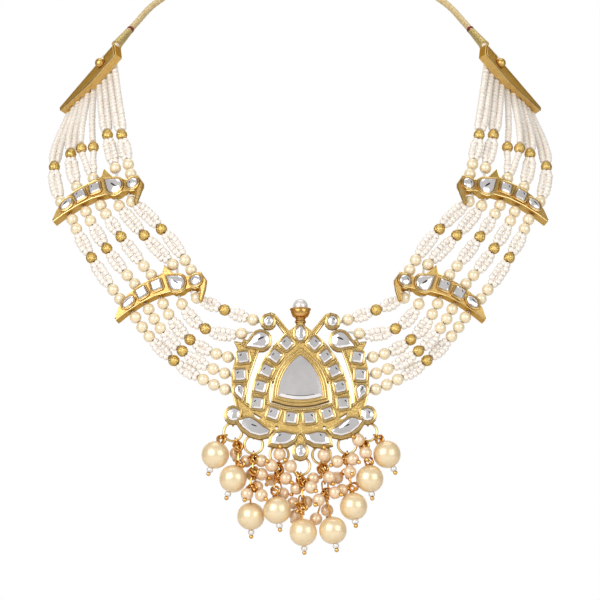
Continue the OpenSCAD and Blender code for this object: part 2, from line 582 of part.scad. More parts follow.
module back_string() {
    from = boss_at + back_way * 0.6;
    to = sleeve_mouth - sleeve_way * 1.6;
    color(SEED) tube([[from, back_string_d / 2, back_way],
        [boss_at + back_way * boss_d * 0.6, back_string_d / 2, back_way],
        [sleeve_mouth + sleeve_way * 0.6, back_string_d / 2, back_way - sleeve_way],
        [to, back_string_d / 2, -sleeve_way]]);
}
module end_plate() {
    color(GOLD) difference() {
        union() {
            placed(bar_axes) linear_extrude(bar_t) polygon([[0, 0], [0, bar_w], [-bar_l * 0.45, bar_w],
                [-bar_l, bar_w * 0.3], [-bar_l, 0]]);
            translate(boss_at) sphere(d = boss_d);
        }
        rod(boss_at + back_way * 0.3, boss_at + back_way * boss_d * 2.6, back_string_d + 2 * clear);
        for (i = [0:4]) for (hand = [-1, 1]) {
            way = plate_way(ways(i)[2]);
            rod(hole_at(i, hand) - way, hole_at(i, hand) + anchor * way, thread_d * 2.7);
            rod(hole_at(i, hand) - plate_space * 1.3 * way, hole_at(i, hand) + 0.3 * way, thread_d * 6.1);
        }
    }
}

// Drops, in the pendant's frame: across, out and up as shares of a big pearl's diameter. The
// cluster spreads if the small pearls outgrow their share of the big ones.
spread = max(drop_d, small_d / 0.46);
function in_cluster(p) = [p[0] * spread, p[2] * spread, ring_plane + p[1] * spread];
// Bunch: ring, direction of its loop round the ring, the wire's knuckles, and the big pearl
BUNCH = [
    [0, 206, [], [-3.06, 0, -1.58]],
    [0, 290, [[-2.26, 0.04, -1.22], [-2.22, 0.06, -1.86]], [-2.42, 0, -2.45]],
    [1, 270, [[-1.70, 0.06, -1.66], [-1.72, 0.08, -2.12], [-1.80, 0.02, -2.72]], [-1.78, -0.20, -3.78]],
    [2, 270, [[-0.80, -0.06, -2.22], [-0.96, 0.14, -2.84]], [-0.84, 0.20, -3.63]],
    [3, 270, [[0.08, 0.16, -2.56], [0.04, 0.22, -3.44]], [0.10, 0, -4.40]],
    [4, 270, [[0.82, 0.08, -2.02], [0.90, -0.04, -2.86]], [1.17, 0, -4.33]],
    [5, 270, [[1.64, 0.04, -1.64], [1.68, -0.06, -2.10], [1.82, -0.12, -2.66]], [1.91, 0, -3.46]],
    [6, 250, [[2.28, 0.10, -1.18], [2.40, -0.06, -1.74]], [2.49, 0, -2.45]],
    [6, 334, [], [3.11, 0, -1.56]]];
// Small pearl: bunch, knuckle, across, out and up
CLUSTER = [
    [1, 0, -2.32, -0.28, -1.48], [2, 0, -1.94, -0.18, -1.78], [2, 0, -1.40, 0.02, -1.80],
    [2, 1, -1.39, 0.02, -2.29], [2, 1, -1.74, -0.32, -2.24], [3, 0, -0.75, 0.34, -1.62],
    [3, 0, -1.04, 0.30, -2.02], [4, 0, -0.35, 0.34, -2.06], [3, 0, -1.04, -0.36, -2.42],
    [3, 0, -0.52, 0.12, -2.46], [2, 1, -1.56, -0.26, -2.70], [2, 2, -1.92, 0.26, -3.06],
    [2, 2, -1.40, 0.50, -3.14], [3, 0, -0.63, -0.20, -2.96], [4, 0, -0.14, -0.02, -2.80],
    [4, 1, -0.26, -0.34, -3.28], [4, 1, 0.22, -0.10, -3.28], [4, 0, 0.38, 0.46, -2.84],
    [4, 0, 0.46, -0.04, -2.44], [4, 1, -0.18, -0.26, -3.76], [5, 1, 0.56, -0.32, -3.86],
    [5, 1, 0.66, 0.34, -3.28], [5, 1, 0.96, -0.36, -3.54], [5, 0, 1.04, 0.24, -2.44],
    [5, 0, 0.84, 0.34, -1.65], [5, 1, 1.24, 0.22, -3.00], [6, 0, 1.32, 0.22, -1.86],
    [6, 0, 1.88, 0.22, -1.78], [7, 0, 2.08, 0.36, -1.10], [7, 0, 2.34, 0.30, -1.56],
    [6, 1, 1.78, 0.27, -2.25], [6, 1, 1.32, -0.24, -2.38], [6, 2, 1.50, -0.16, -2.84]];
wire_bore_d = drop_wire + 0.24;
ball_d = 1.3;
knuckle_d = 1.2;
loop_r = ring_wire / 2 + 0.2 + drop_wire * 0.53;
seed_space = 1.6;   // room for a seed bead between a big pearl and its ball
knot_r = loop_r + 0.36;   // from a jump ring's wire to the knot under a bunch's loop
function ring_way(b) = [cos(BUNCH[b][1]), sin(BUNCH[b][1]), 0];
function hook(b) = [ring_list[BUNCH[b][0]].x, ring_list[BUNCH[b][0]].y, ring_plane] + ring_r * ring_way(b);
function knots(b) = concat([hook(b) + knot_r * ring_way(b)], [for (k = BUNCH[b][2]) in_cluster(k)]);
function last_knot(b) = knots(b)[len(BUNCH[b][2])];
module drop_pearls() {
    color(CREAM) placed(pendant_axes) for (b = [0:len(BUNCH) - 1])
        drilled(in_cluster(BUNCH[b][3]), in_cluster(BUNCH[b][3]) - last_knot(b), drop_d, wire_bore_d);
}
module cluster_pearls() {
    color(CREAM) placed(pendant_axes) for (s = CLUSTER) {
        at = in_cluster([s[2], s[3], s[4]]);
        drilled(at, at - knots(s[0])[s[1] + 1], small_d, wire_bore_d);
    }
}
// A wire from one knot's ball into the next ball
module wire(from, to, d) {
    way = unit(to - from);
    rod(from + way * knuckle_d * 0.3, to - way * knuckle_d * 0.3, d);
}
module pin(from, pearl, reach, d) {
    ball = pearl + unit(pearl - from) * reach;
    wire(from, ball, d);
    translate(ball) sphere(d = ball_d);
}
module bunch_wire(b) {
    k = knots(b);
    translate(hook(b)) rotate([90, 0, BUNCH[b][1]]) torus(loop_r, drop_wire * 1.06);
    for (p = k) translate(p) sphere(d = knuckle_d);
    for (i = [1:1:len(k) - 1]) wire(k[i - 1], k[i], drop_wire);
    pin(last_knot(b), in_cluster(BUNCH[b][3]), drop_d / 2 + clear + seed_space + ball_d / 2, drop_wire);
    for (s = CLUSTER) if (s[0] == b)
        pin(k[s[1] + 1], in_cluster([s[2], s[3], s[4]]), small_d / 2 + clear + ball_d / 2, drop_wire * 0.9);
}
module drop_wires() { color(GOLD) placed(pendant_axes) for (b = [0:len(BUNCH) - 1]) bunch_wire(b); }
module jump_rings() {
    color(GOLD) placed(pendant_axes) for (c = ring_list)
        translate([c.x, c.y, ring_plane]) torus(ring_r, ring_wire);
}

pendant_frame();
centre_stone();
peak_stone();
border_stones();
wing_stones(0);  // left_wing_stones
wing_stones(1);  // right_wing_stones
lower_stones();
finial_pearl();
spacer(0);  // left_lower_spacer
spacer_stones(0);  // left_lower_spacer_stones
spacer(1);  // left_upper_spacer
spacer_stones(1);  // left_upper_spacer_stones
strand_pearls(0);  // left_strand_1_pearls
strand_strings(0);  // left_strand_1_strings
strand_pearls(1);  // left_strand_2_pearls
strand_strings(1);  // left_strand_2_strings
strand_pearls(2);  // left_strand_3_pearls
strand_strings(2);  // left_strand_3_strings
strand_pearls(3);  // left_strand_4_pearls
strand_strings(3);  // left_strand_4_strings
strand_pearls(4);  // left_strand_5_pearls
strand_strings(4);  // left_strand_5_strings
gold_beads();  // left_gold_beads
end_plate();  // left_end_plate
back_string();  // left_back_string
cord_sleeve();  // left_cord_sleeve
cord_wrap();  // left_cord_wrap
mirror([1, 0, 0]) spacer(0);  // right_lower_spacer
mirror([1, 0, 0]) spacer_stones(0);  // right_lower_spacer_stones
mirror([1, 0, 0]) spacer(1);  // right_upper_spacer
mirror([1, 0, 0]) spacer_stones(1);  // right_upper_spacer_stones
mirror([1, 0, 0]) strand_pearls(0);  // right_strand_1_pearls
mirror([1, 0, 0]) strand_strings(0);  // right_strand_1_strings
mirror([1, 0, 0]) strand_pearls(1);  // right_strand_2_pearls
mirror([1, 0, 0]) strand_strings(1);  // right_strand_2_strings
mirror([1, 0, 0]) strand_pearls(2);  // right_strand_3_pearls
mirror([1, 0, 0]) strand_strings(2);  // right_strand_3_strings
mirror([1, 0, 0]) strand_pearls(3);  // right_strand_4_pearls
mirror([1, 0, 0]) strand_strings(3);  // right_strand_4_strings
mirror([1, 0, 0]) strand_pearls(4);  // right_strand_5_pearls
mirror([1, 0, 0]) strand_strings(4);  // right_strand_5_strings
mirror([1, 0, 0]) gold_beads();  // right_gold_beads
mirror([1, 0, 0]) end_plate();  // right_end_plate
mirror([1, 0, 0]) back_string();  // right_back_string
mirror([1, 0, 0]) cord_sleeve();  // right_cord_sleeve
mirror([1, 0, 0]) cord_wrap();  // right_cord_wrap
neck_cord();
jump_rings();
drop_pearls();
cluster_pearls();
drop_wires();
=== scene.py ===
"""Kundan necklace: a stone-set pendant with pearl drops, strands of pearls and seed beads through
bird-shaped spacers, two end plates and a cord round the back of the neck. Sizes are in millimetres
until a piece is made, and the origin is the inner middle of the cord at the nape."""

import math

import bpy
import numpy as np
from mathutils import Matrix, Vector


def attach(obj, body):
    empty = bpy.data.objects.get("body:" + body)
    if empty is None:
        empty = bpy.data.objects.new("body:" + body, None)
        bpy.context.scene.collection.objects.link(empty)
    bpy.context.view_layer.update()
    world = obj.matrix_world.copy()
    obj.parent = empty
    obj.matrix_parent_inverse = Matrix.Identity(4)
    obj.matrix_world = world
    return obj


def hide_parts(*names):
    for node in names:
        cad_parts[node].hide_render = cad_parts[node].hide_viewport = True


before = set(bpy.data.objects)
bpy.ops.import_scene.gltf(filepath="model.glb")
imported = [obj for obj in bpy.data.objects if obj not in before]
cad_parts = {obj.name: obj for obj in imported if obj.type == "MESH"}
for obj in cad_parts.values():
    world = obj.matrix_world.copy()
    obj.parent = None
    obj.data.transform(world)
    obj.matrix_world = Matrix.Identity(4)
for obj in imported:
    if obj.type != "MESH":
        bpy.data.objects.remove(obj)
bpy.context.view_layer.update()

MM = 0.001
SIDES = {"left": 1, "right": -1}   # the right side is the left one mirrored

# Sizes that the castings and beads are built to
PLATE_H = 31.8
FRAME_T = 3.2
PENDANT_DROP = 160.5
PENDANT_REACH = 118
PENDANT_TILT = math.radians(10)
CUP_W = 7.4
CUP_SINK = 0.8
FINIAL_D = 5.4
RIM_H = 0.45
SPACER_L = 32.6
SPACER_T = 3.8
BAR_L = 32
BAR_W = 8
BAR_T = 3
PEARL_D = 4.3
GOLD_D = 4.1
SEED_D = 2.2
THREAD_D = 0.44
BEAD_GAP = 0.12
DROP_D = 10
SMALL_D = 4.6
RING_R = 3.3
RING_WIRE = 0.9
DROP_WIRE = 0.6
CORD_D = 2.4
SLEEVE_L = 10.4
SLEEVE_D = 3.5
WRAP_L = 1.3
CLEAR = 0.1


# Vectors and frames of axes

def vec(*p):
    return np.array(p, float)


def unit(v):
    return v / np.linalg.norm(v)


def mix(a, b, t):
    return a + (b - a) * t


def smooth(t):
    t = np.clip(t, 0, 1)
    return t * t * (3 - 2 * t)


def axes(origin, x_way, z_way):
    """An origin and three directions, with z as near z_way as x allows."""
    x = unit(x_way)
    z = unit(z_way - (z_way @ x) * x)
    return origin, x, np.cross(z, x), z


def on(at, p):
    return at[0] + at[1] * p[0] + at[2] * p[1] + at[3] * p[2]


def all_on(at, points):
    return at[0] + np.asarray(points) @ np.array(at[1:])


def in_axes(at, points):
    return (np.asarray(points) - at[0]) @ np.array(at[1:]).T


def mirrored(points, hand):
    """Points in millimetres, flipped across the middle plane for the right side."""
    return np.asarray(points) * [hand, 1, 1]


PENDANT = (vec(0, -PENDANT_REACH, -PENDANT_DROP), vec(1, 0, 0),
           vec(0, math.sin(PENDANT_TILT), math.cos(PENDANT_TILT)),
           vec(0, -math.cos(PENDANT_TILT), math.sin(PENDANT_TILT)))
LOWER_HEAD = vec(-37.7, -112, -113.4)
LOWER_TIP = vec(-66.8, -107, -127.5)
UPPER_HEAD = vec(-60.6, -92, -78.4)
UPPER_TIP = vec(-89.6, -85, -92)


def spacer_frame(head, tip, z_way):
    at = axes(head, head - tip, z_way)
    return (at[0] - SPACER_T * at[3],) + at[1:]


SPACERS = {"lower": spacer_frame(LOWER_HEAD, LOWER_TIP, vec(-0.15, -0.88, 0.42)),
           "upper": spacer_frame(UPPER_HEAD, UPPER_TIP, vec(-0.24, -0.82, 0.50))}
PLATE_INNER = vec(-67.3, -50.8, -28)
PLATE_OUTER = vec(-86.1, -40.8, -49.8)
END_PLATE = axes(PLATE_INNER, PLATE_INNER - PLATE_OUTER, vec(0.72, 0.36, -0.62))


# Camera, light and floor

PIXEL = 0.36            # millimetres of the necklace to a pixel of the photograph
MIDDLE_X = 300.4        # the pendant's middle in the photograph, in pixels
NAPE_Y = -34.9          # the nape's height in the photograph, in pixels
FRAME_PX = 600
VIEW_DISTANCE = 10000
SENSOR = 36
CHEST = (0, -90, -120)  # what the lights are turned to
ROOM_GREY = 0.36        # the room's tone where it isn't white
FLOOR_DROP = 265        # from the nape down to the floor
FLOOR_R = 420

camera_data = bpy.data.cameras.new("camera")
camera_data.sensor_width = SENSOR
camera_data.lens = SENSOR * VIEW_DISTANCE / (FRAME_PX * PIXEL)
camera_data.clip_end = 100
camera = bpy.data.objects.new("camera", camera_data)
camera.location = vec((FRAME_PX / 2 - MIDDLE_X) * PIXEL, -100 - VIEW_DISTANCE,
                      (NAPE_Y - FRAME_PX / 2) * PIXEL) * MM
camera.rotation_euler = (math.pi / 2, 0, 0)
bpy.context.scene.collection.objects.link(camera)
bpy.context.scene.camera = camera
bpy.context.scene.view_settings.view_transform = "Standard"


def softbox(name, at, size, power):
    """A square studio light turned towards the chest, in millimetres."""
    data = bpy.data.lights.new(name, "AREA")
    data.size = size * MM
    data.energy = power
    lamp = bpy.data.objects.new(name, data)
    lamp.location = vec(*at) * MM
    way = Vector([c * MM for c in CHEST]) - Vector([c * MM for c in at])
    lamp.rotation_euler = way.to_track_quat("-Z", "Y").to_euler()
    bpy.context.scene.collection.objects.link(lamp)


softbox("key_light", (-570, -900, 230), 860, 7.2)
softbox("fill_light", (680, -800, 120), 700, 3.2)
softbox("top_light", (0, 150, 800), 700, 2.4)


def set_sockets(node, values):
    for socket, value in values.items():
        node.inputs[socket].default_value = value


def ramp(tree, value, start, full, low=0.0, high=1.0, way="LINEAR"):
    """The value's share of the way from start to full, from low to high."""
    node = tree.nodes.new("ShaderNodeMapRange")
    node.interpolation_type = way
    set_sockets(node, {"From Min": start, "From Max": full, "To Min": low, "To Max": high})
    tree.links.new(value, node.inputs["Value"])
    return node.outputs[0]


def studio_world():
    """White behind the necklace and from the table below it, and grey elsewhere for flat stones."""
    world = bpy.data.worlds.new("studio")
    bpy.context.scene.world = world
    world.use_nodes = True
    tree = world.node_tree
    where = tree.nodes.new("ShaderNodeTexCoord")
    parts = tree.nodes.new("ShaderNodeSeparateXYZ")
    tree.links.new(where.outputs["Generated"], parts.inputs[0])
    brighter = tree.nodes.new("ShaderNodeMath")
    brighter.operation = "MAXIMUM"
    for n, (axis, start, full, most) in enumerate((("Y", 0.58, 0.92, 1.0), ("Z", -0.15, -0.85, 0.95))):
        share = ramp(tree, parts.outputs[axis], start, full, ROOM_GREY, most, "SMOOTHSTEP")
        tree.links.new(share, brighter.inputs[n])
    tree.links.new(brighter.outputs[0], tree.nodes["Background"].inputs["Color"])
    set_sockets(tree.nodes["Background"], {"Strength": 1.0})


studio_world()


# Materials

def new_group(name, inputs, outputs):
    """An empty shader group with named sockets: (name, kind, value) in and (name, kind) out."""
    group = bpy.data.node_groups.new(name, "ShaderNodeTree")
    for label, kind, value in inputs:
        socket = group.interface.new_socket(label, in_out="INPUT", socket_type=kind)
        if value is not None:
            socket.default_value = value
    for label, kind in outputs:
        group.interface.new_socket(label, in_out="OUTPUT", socket_type=kind)
    return group, group.nodes.new("NodeGroupInput"), group.nodes.new("NodeGroupOutput")


def colour_mix(tree, share, first, second):
    """A mix of two colours; share and the colours are sockets or plain values."""
    node = tree.nodes.new("ShaderNodeMix")
    node.data_type = "RGBA"
    for index, value in ((0, share), (6, first), (7, second)):
        if isinstance(value, bpy.types.NodeSocket):
            tree.links.new(value, node.inputs[index])
        else:
            node.inputs[index].default_value = value
    return node.outputs[2]


def noise(tree, where, scale, detail=2):
    node = tree.nodes.new("ShaderNodeTexNoise")
    node.inputs["Detail"].default_value = detail
    if isinstance(scale, bpy.types.NodeSocket):
        tree.links.new(scale, node.inputs["Scale"])
    else:
        node.inputs["Scale"].default_value = scale
    tree.links.new(where, node.inputs["Vector"])
    return node.outputs["Fac"]


def spread_tone():
    """Slow changes of tone over a surface, from one colour to the other."""
    group, inside, out = new_group("spread_tone", [
        ("First", "NodeSocketColor", None), ("Second", "NodeSocketColor", None),
        ("Scale", "NodeSocketFloat", 300)], [("Color", "NodeSocketColor"), ("Mask", "NodeSocketFloat")])
    where = group.nodes.new("ShaderNodeTexCoord")
    cloud = noise(group, where.outputs["Object"], inside.outputs["Scale"])
    mask = ramp(group, cloud, 0.35, 0.65)
    group.links.new(colour_mix(group, mask, inside.outputs["First"], inside.outputs["Second"]),
                    out.inputs["Color"])
    group.links.new(mask, out.inputs["Mask"])
    return group


def cast_grain():
    """The fine stipple of a gilded casting: its height, and a mask that is 1 on the grains."""
    group, inside, out = new_group("cast_grain", [("Grain Size", "NodeSocketFloat", 3000)],
                                   [("Height", "NodeSocketFloat"), ("Mask", "NodeSocketFloat")])
    where = group.nodes.new("ShaderNodeTexCoord")
    cells = group.nodes.new("ShaderNodeTexVoronoi")
    group.links.new(where.outputs["Object"], cells.inputs["Vector"])
    group.links.new(inside.outputs["Grain Size"], cells.inputs["Scale"])
    fine = noise(group, where.outputs["Object"], 6000, 3)
    both = group.nodes.new("ShaderNodeMath")
    both.operation = "MULTIPLY_ADD"
    both.inputs[1].default_value = -0.7
    group.links.new(cells.outputs["Distance"], both.inputs[0])
    group.links.new(fine, both.inputs[2])
    group.links.new(both.outputs[0], out.inputs["Height"])
    group.links.new(ramp(group, cells.outputs["Distance"], 0.62, 0.22), out.inputs["Mask"])
    return group


SPREAD_TONE = spread_tone()
CAST_GRAIN = cast_grain()


def new_material(name, metallic, roughness):
    """A material with its tree and its Principled BSDF."""
    material = bpy.data.materials.new(name)
    material.use_nodes = True
    shader = material.node_tree.nodes["Principled BSDF"]
    set_sockets(shader, {"Metallic": metallic, "Roughness": roughness})
    return material, material.node_tree, shader


def effect(tree, group, values):
    """One of the shared effects, placed in a material with its own values."""
    node = tree.nodes.new("ShaderNodeGroup")
    node.node_tree = group
    set_sockets(node, values)
    return node


def toned(tree, first, second, scale):
    """The colour of a surface whose tone drifts from one colour to the other."""
    return effect(tree, SPREAD_TONE, {"First": (*first, 1), "Second": (*second, 1),
                                      "Scale": scale}).outputs["Color"]


def painted_rim_shade(tree, face, edge, blend):
    """Painted shade at the outline: a colour that goes over to the edge's colour where the surface turns
    away from the view.
    """
    facing = tree.nodes.new("ShaderNodeLayerWeight")
    set_sockets(facing, {"Blend": blend})
    return colour_mix(tree, facing.outputs["Facing"], face, (*edge, 1))


def bumped(tree, shader, height, depth):
    """Feeds a height through a Bump node of that depth in millimetres."""
    bump = tree.nodes.new("ShaderNodeBump")
    set_sockets(bump, {"Strength": 1, "Distance": depth * MM})
    tree.links.new(height, bump.inputs["Height"])
    tree.links.new(bump.outputs["Normal"], shader.inputs["Normal"])


def gilded(name, light, deep, painted_shade, roughness, grain=0.0, grain_size=3000):
    """Gold plate with painted shade: brown painted where it is hemmed in and where it turns away, with a
    cast grain if asked.
    """
    material, tree, shader = new_material(name, 1.0, roughness)
    colour = toned(tree, light, deep, 420)
    if grain:
        stipple = effect(tree, CAST_GRAIN, {"Grain Size": grain_size})
        bumped(tree, shader, stipple.outputs["Height"], grain)
        # darker between the grains: partly the casting's own tone, partly painted shade mixed in from the
        # shade colour
        between = tuple(mix(r, d, 0.62) for r, d in zip(painted_shade, deep))
        colour = colour_mix(tree, stipple.outputs["Mask"], (*between, 1), colour)
    # painted shade: an AO node darkens the colour towards the shade colour in hollows
    hollow_shade = tree.nodes.new("ShaderNodeAmbientOcclusion")
    hollow_shade.samples = 8
    set_sockets(hollow_shade, {"Distance": 0.7 * MM})
    colour = colour_mix(tree, ramp(tree, hollow_shade.outputs["AO"], 0.3, 0.88), (*painted_shade, 1), colour)
    # painted shade where the surface turns away from the view
    tree.links.new(painted_rim_shade(tree, colour, painted_shade, 0.27), shader.inputs["Base Color"])
    set_sockets(shader, {"Specular Tint": (0.72, 0.46, 0.2, 1)})
    return material


def pearl_with_painted_shade(name, face, edge, cloud, roughness, body=0.0):
    """Pearl: a pale face with painted shade that deepens towards the outline, under a thin glossy skin."""
    material, tree, shader = new_material(name, body, roughness)
    tree.links.new(painted_rim_shade(tree, toned(tree, face, cloud, 500), edge, 0.42), shader.inputs["Base Color"])
    set_sockets(shader, {"Coat Weight": 1.0, "Coat Roughness": 0.2, "Coat IOR": 1.7,
                         "Subsurface Weight": 0.15, "Subsurface Radius": (1, 0.8, 0.6),
                         "Subsurface Scale": 0.6 * MM})
    return material


def mirror_glass(name, colour, cloud, roughness, painted_glow=0.0):
    """Foil-backed cut glass. The glow is painted light: an emission that brightens the stone though it is no
    lamp.
    """
    material, tree, shader = new_material(name, 0.9, roughness)
    tone = toned(tree, colour, cloud, 110)
    tree.links.new(tone, shader.inputs["Base Color"])
    tree.links.new(tone, shader.inputs["Emission Color"])
    set_sockets(shader, {"Emission Strength": painted_glow, "Coat Weight": 0.4, "Coat Roughness": 0.03})
    return material


def spun(name, light, deep, roughness, metallic):
    """Wound or twisted thread: fine fibres over the modelled lay."""
    material, tree, shader = new_material(name, metallic, roughness)
    tree.links.new(toned(tree, light, deep, 1500), shader.inputs["Base Color"])
    where = tree.nodes.new("ShaderNodeTexCoord")
    bumped(tree, shader, noise(tree, where.outputs["Object"], 9000), 0.05)
    set_sockets(shader, {"Sheen Weight": 0.2})
    return material


# Each gold's third colour is painted shade, laid in hollows and where the surface turns away.
CAST_GOLD = gilded("cast_gold", (0.80, 0.60, 0.25), (0.66, 0.46, 0.16), (0.28, 0.15, 0.03), 0.36, 0.09, 2200)
STRIP_GOLD = gilded("strip_gold", (1.0, 0.80, 0.36), (0.88, 0.64, 0.24), (0.50, 0.30, 0.08), 0.34, 0.2, 1700)
RIM_GOLD = gilded("rim_gold", (0.97, 0.79, 0.39), (0.90, 0.68, 0.27), (0.40, 0.22, 0.05), 0.28)
BOX_GOLD = gilded("box_gold", (0.92, 0.68, 0.27), (0.84, 0.58, 0.19), (0.48, 0.24, 0.06), 0.36, 0.03, 2600)
# Dark gold for the casting seams and for the painted shade line round the stones' girdles.
SEAM_AND_SHADE_GOLD = gilded("seam_and_shade_gold", (0.42, 0.24, 0.08), (0.32, 0.17, 0.05), (0.22, 0.10, 0.02), 0.4)
BEAD_GOLD = gilded("bead_gold", (1.0, 0.80, 0.33), (0.92, 0.66, 0.22), (0.50, 0.30, 0.07), 0.3, 0.12, 1700)
CUP_GOLD = gilded("cup_gold", (0.90, 0.56, 0.20), (0.74, 0.38, 0.10), (0.38, 0.12, 0.02), 0.25)
WIRE_GOLD = gilded("wire_gold", (0.96, 0.62, 0.22), (0.86, 0.48, 0.12), (0.50, 0.20, 0.04), 0.26)
# Each pearl's second colour is painted shade towards the outline.
STRAND_PEARL = pearl_with_painted_shade("strand_pearl", (0.97, 0.85, 0.62), (0.88, 0.66, 0.34), (0.95, 0.80, 0.55), 0.3, 0.15)
BIG_PEARL = pearl_with_painted_shade("big_pearl", (0.95, 0.79, 0.52), (0.82, 0.52, 0.18), (0.92, 0.74, 0.46), 0.3, 0.25)
SMALL_PEARL = pearl_with_painted_shade("small_pearl", (0.94, 0.74, 0.52), (0.80, 0.45, 0.18), (0.92, 0.69, 0.44), 0.28, 0.2)
WHITE_PEARL = pearl_with_painted_shade("white_pearl", (0.86, 0.83, 0.80), (0.55, 0.50, 0.44), (0.82, 0.78, 0.75), 0.25, 0.2)
SEED_WHITE = pearl_with_painted_shade("seed_white", (0.97, 0.91, 0.83), (0.90, 0.79, 0.66), (0.96, 0.87, 0.79), 0.34, 0.05)
# The stone's emission of 0.22 is painted light: it glows though it is no lamp.
STONE = mirror_glass("foil_stone", (0.87, 0.84, 0.83), (0.73, 0.71, 0.71), 0.13, 0.22)
# Painted dark reflections: this near-black glass colours the thin slashes on the tables and the line along
# the big stone's lower edge.
STONE_DARK_REFLECTION = mirror_glass("stone_dark_reflection", (0.10, 0.10, 0.13), (0.06, 0.06, 0.08), 0.2)
THREAD_WHITE = spun("thread_white", (0.82, 0.78, 0.70), (0.74, 0.70, 0.62), 0.6, 0)
CORD_GOLD = spun("cord_gold", (0.78, 0.62, 0.34), (0.60, 0.43, 0.18), 0.45, 0.35)
SLEEVE_GOLD = spun("sleeve_gold", (0.70, 0.52, 0.18), (0.48, 0.36, 0.12), 0.38, 0.75)
MAROON = spun("maroon_thread", (0.24, 0.008, 0.016), (0.15, 0.004, 0.008), 0.55, 0)
FLOOR_PAINT = spun("pale_floor", (0.90, 0.89, 0.88), (0.87, 0.86, 0.85), 0.8, 0)


# Mesh making

class Shape:
    """Points and faces of a piece, in millimetres, with the number of each face's finish."""

    def __init__(self):
        self.points, self.faces, self.finish = [], [], []
        self.count = 0

    def add(self, points, faces, finish=0):
        self.points.append(np.asarray(points, float))
        self.faces += [[i + self.count for i in face] for face in faces]
        self.finish += [finish] * len(faces)
        self.count += len(points)


def made_of(name, shape, finishes, crease):
    """The object of a shape, smooth but for edges sharper than the crease."""
    mesh = bpy.data.meshes.new(name)
    mesh.from_pydata(np.vstack(shape.points) * MM, [], shape.faces)
    for finish in finishes:
        mesh.materials.append(finish)
    mesh.polygons.foreach_set("material_index", shape.finish)
    mesh.polygons.foreach_set("use_smooth", [True] * len(shape.faces))
    mesh.update()
    mesh.set_sharp_from_angle(angle=math.radians(crease))
    made = bpy.data.objects.new(name, mesh)
    bpy.context.scene.collection.objects.link(made)
    return made


def piece(name, shape, finishes, nodes=(), crease=40):
    """Makes the piece, lets it ride on the one body and stand for its nodes."""
    made = made_of(name, shape, finishes, crease)
    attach(made, "root")
    if nodes:
        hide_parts(*nodes)
    return made


def round_turn(sides):
    return np.arange(sides) * 2 * math.pi / sides


def distances(path):
    """How far along the path each of its points is."""
    return np.concatenate([[0], np.cumsum(np.linalg.norm(np.diff(path, axis=0), axis=1))])


def grid_faces(rows, sides, closed=False):
    """Quads between rings of points, each ring closed on itself."""
    last = rows if closed else rows - 1
    return [[i * sides + k, i * sides + (k + 1) % sides,
             (i + 1) % rows * sides + (k + 1) % sides, (i + 1) % rows * sides + k]
            for i in range(last) for k in range(sides)]


def turned(profile, sides):
    """A drilled solid: a closed profile of (radius, height) points turned round the z axis."""
    points = [[r * math.cos(a), r * math.sin(a), z] for r, z in profile for a in round_turn(sides)]
    return np.array(points), grid_faces(len(profile), sides, True)


def ball(d, sides=12, rows=7):
    """A whole ball with one point at each pole."""
    levels = [math.pi * (j + 1) / rows for j in range(rows - 1)]
    rings = [[math.sin(v) * math.cos(a), math.sin(v) * math.sin(a), -math.cos(v)]
             for v in levels for a in round_turn(sides)]
    n = len(rings)
    faces = grid_faces(rows - 1, sides)
    faces += [[n, (k + 1) % sides, k] for k in range(sides)]
    top = n - sides
    faces += [[n + 1, top + k, top + (k + 1) % sides] for k in range(sides)]
    return np.array(rings + [[0, 0, -1], [0, 0, 1]]) * d / 2, faces


def pearl_profile(d, bore, rows=16):
    """Half outline of a drilled pearl, from the bore's lower end up to its upper end."""
    start = math.asin(bore / d)
    sweep = [mix(start, math.pi - start, i / rows) for i in range(rows + 1)]
    return [(d / 2 * math.sin(a), -d / 2 * math.cos(a)) for a in sweep]


def stood(points, at, way, spin=0.0):
    """Points made round the z axis, set at a place with z along a direction."""
    z = unit(way)
    guide = vec(0, -1, 0.2) if abs(z[1]) < 0.9 else vec(1, 0, 0)
    x = unit(np.cross(guide, z))
    y = np.cross(z, x)
    c, s = math.cos(spin), math.sin(spin)
    return at + np.asarray(points) @ np.array([c * x + s * y, c * y - s * x, z])


def add_stood(shape, hand, made, at, way, spin=0.0):
    """Adds points and faces made round the z axis, stood at a place, on the left or mirrored."""
    points, faces = made
    shape.add(mirrored(stood(points, at, way, spin), hand), faces)


def swept(path, radius, sides, up=None, closed=False, lobes=None):
    """A tube along a path. up fixes its roll, and lobes(angles, distance) scales its radius."""
    path = np.asarray(path, float)
    n = len(path)
    if closed:
        ways = np.roll(path, -1, 0) - np.roll(path, 1, 0)
    else:
        ways = np.gradient(path, axis=0)
    ways /= np.linalg.norm(ways, axis=1)[:, None]
    runs = distances(path)
    turn = round_turn(sides)
    across = None
    points = []
    for i in range(n):
        if up is not None:
            across = unit(np.cross(ways[i], up))
        elif across is None:
            across = unit(np.cross(ways[i], vec(0.12, -1, 0.3)))
        else:
            across = unit(across - (across @ ways[i]) * ways[i])
        other = np.cross(ways[i], across)
        r = radius * (lobes(turn, runs[i]) if lobes else 1)
        points.append(path[i] + (r * np.cos(turn))[:, None] * across + (r * np.sin(turn))[:, None] * other)
    points = np.vstack(points)
    faces = grid_faces(n, sides, closed)
    if not closed:
        points = np.vstack([points, path[0], path[-1]])
        low, high = len(points) - 2, (n - 1) * sides
        faces += [[low, (k + 1) % sides, k] for k in range(sides)]
        faces += [[low + 1, high + k, high + (k + 1) % sides] for k in range(sides)]
    return points, faces


def hoop(r, wire, sides=24, section=8, stretch=0.0):
    """A ring of wire round the z axis; stretch draws it out along x to an oval link."""
    path = np.array([[r * math.cos(a) + math.copysign(stretch / 2, math.cos(a)), r * math.sin(a), 0]
                     for a in round_turn(sides) + math.pi / sides])
    return swept(path, wire / 2, section, up=vec(0, 0, 1), closed=True)


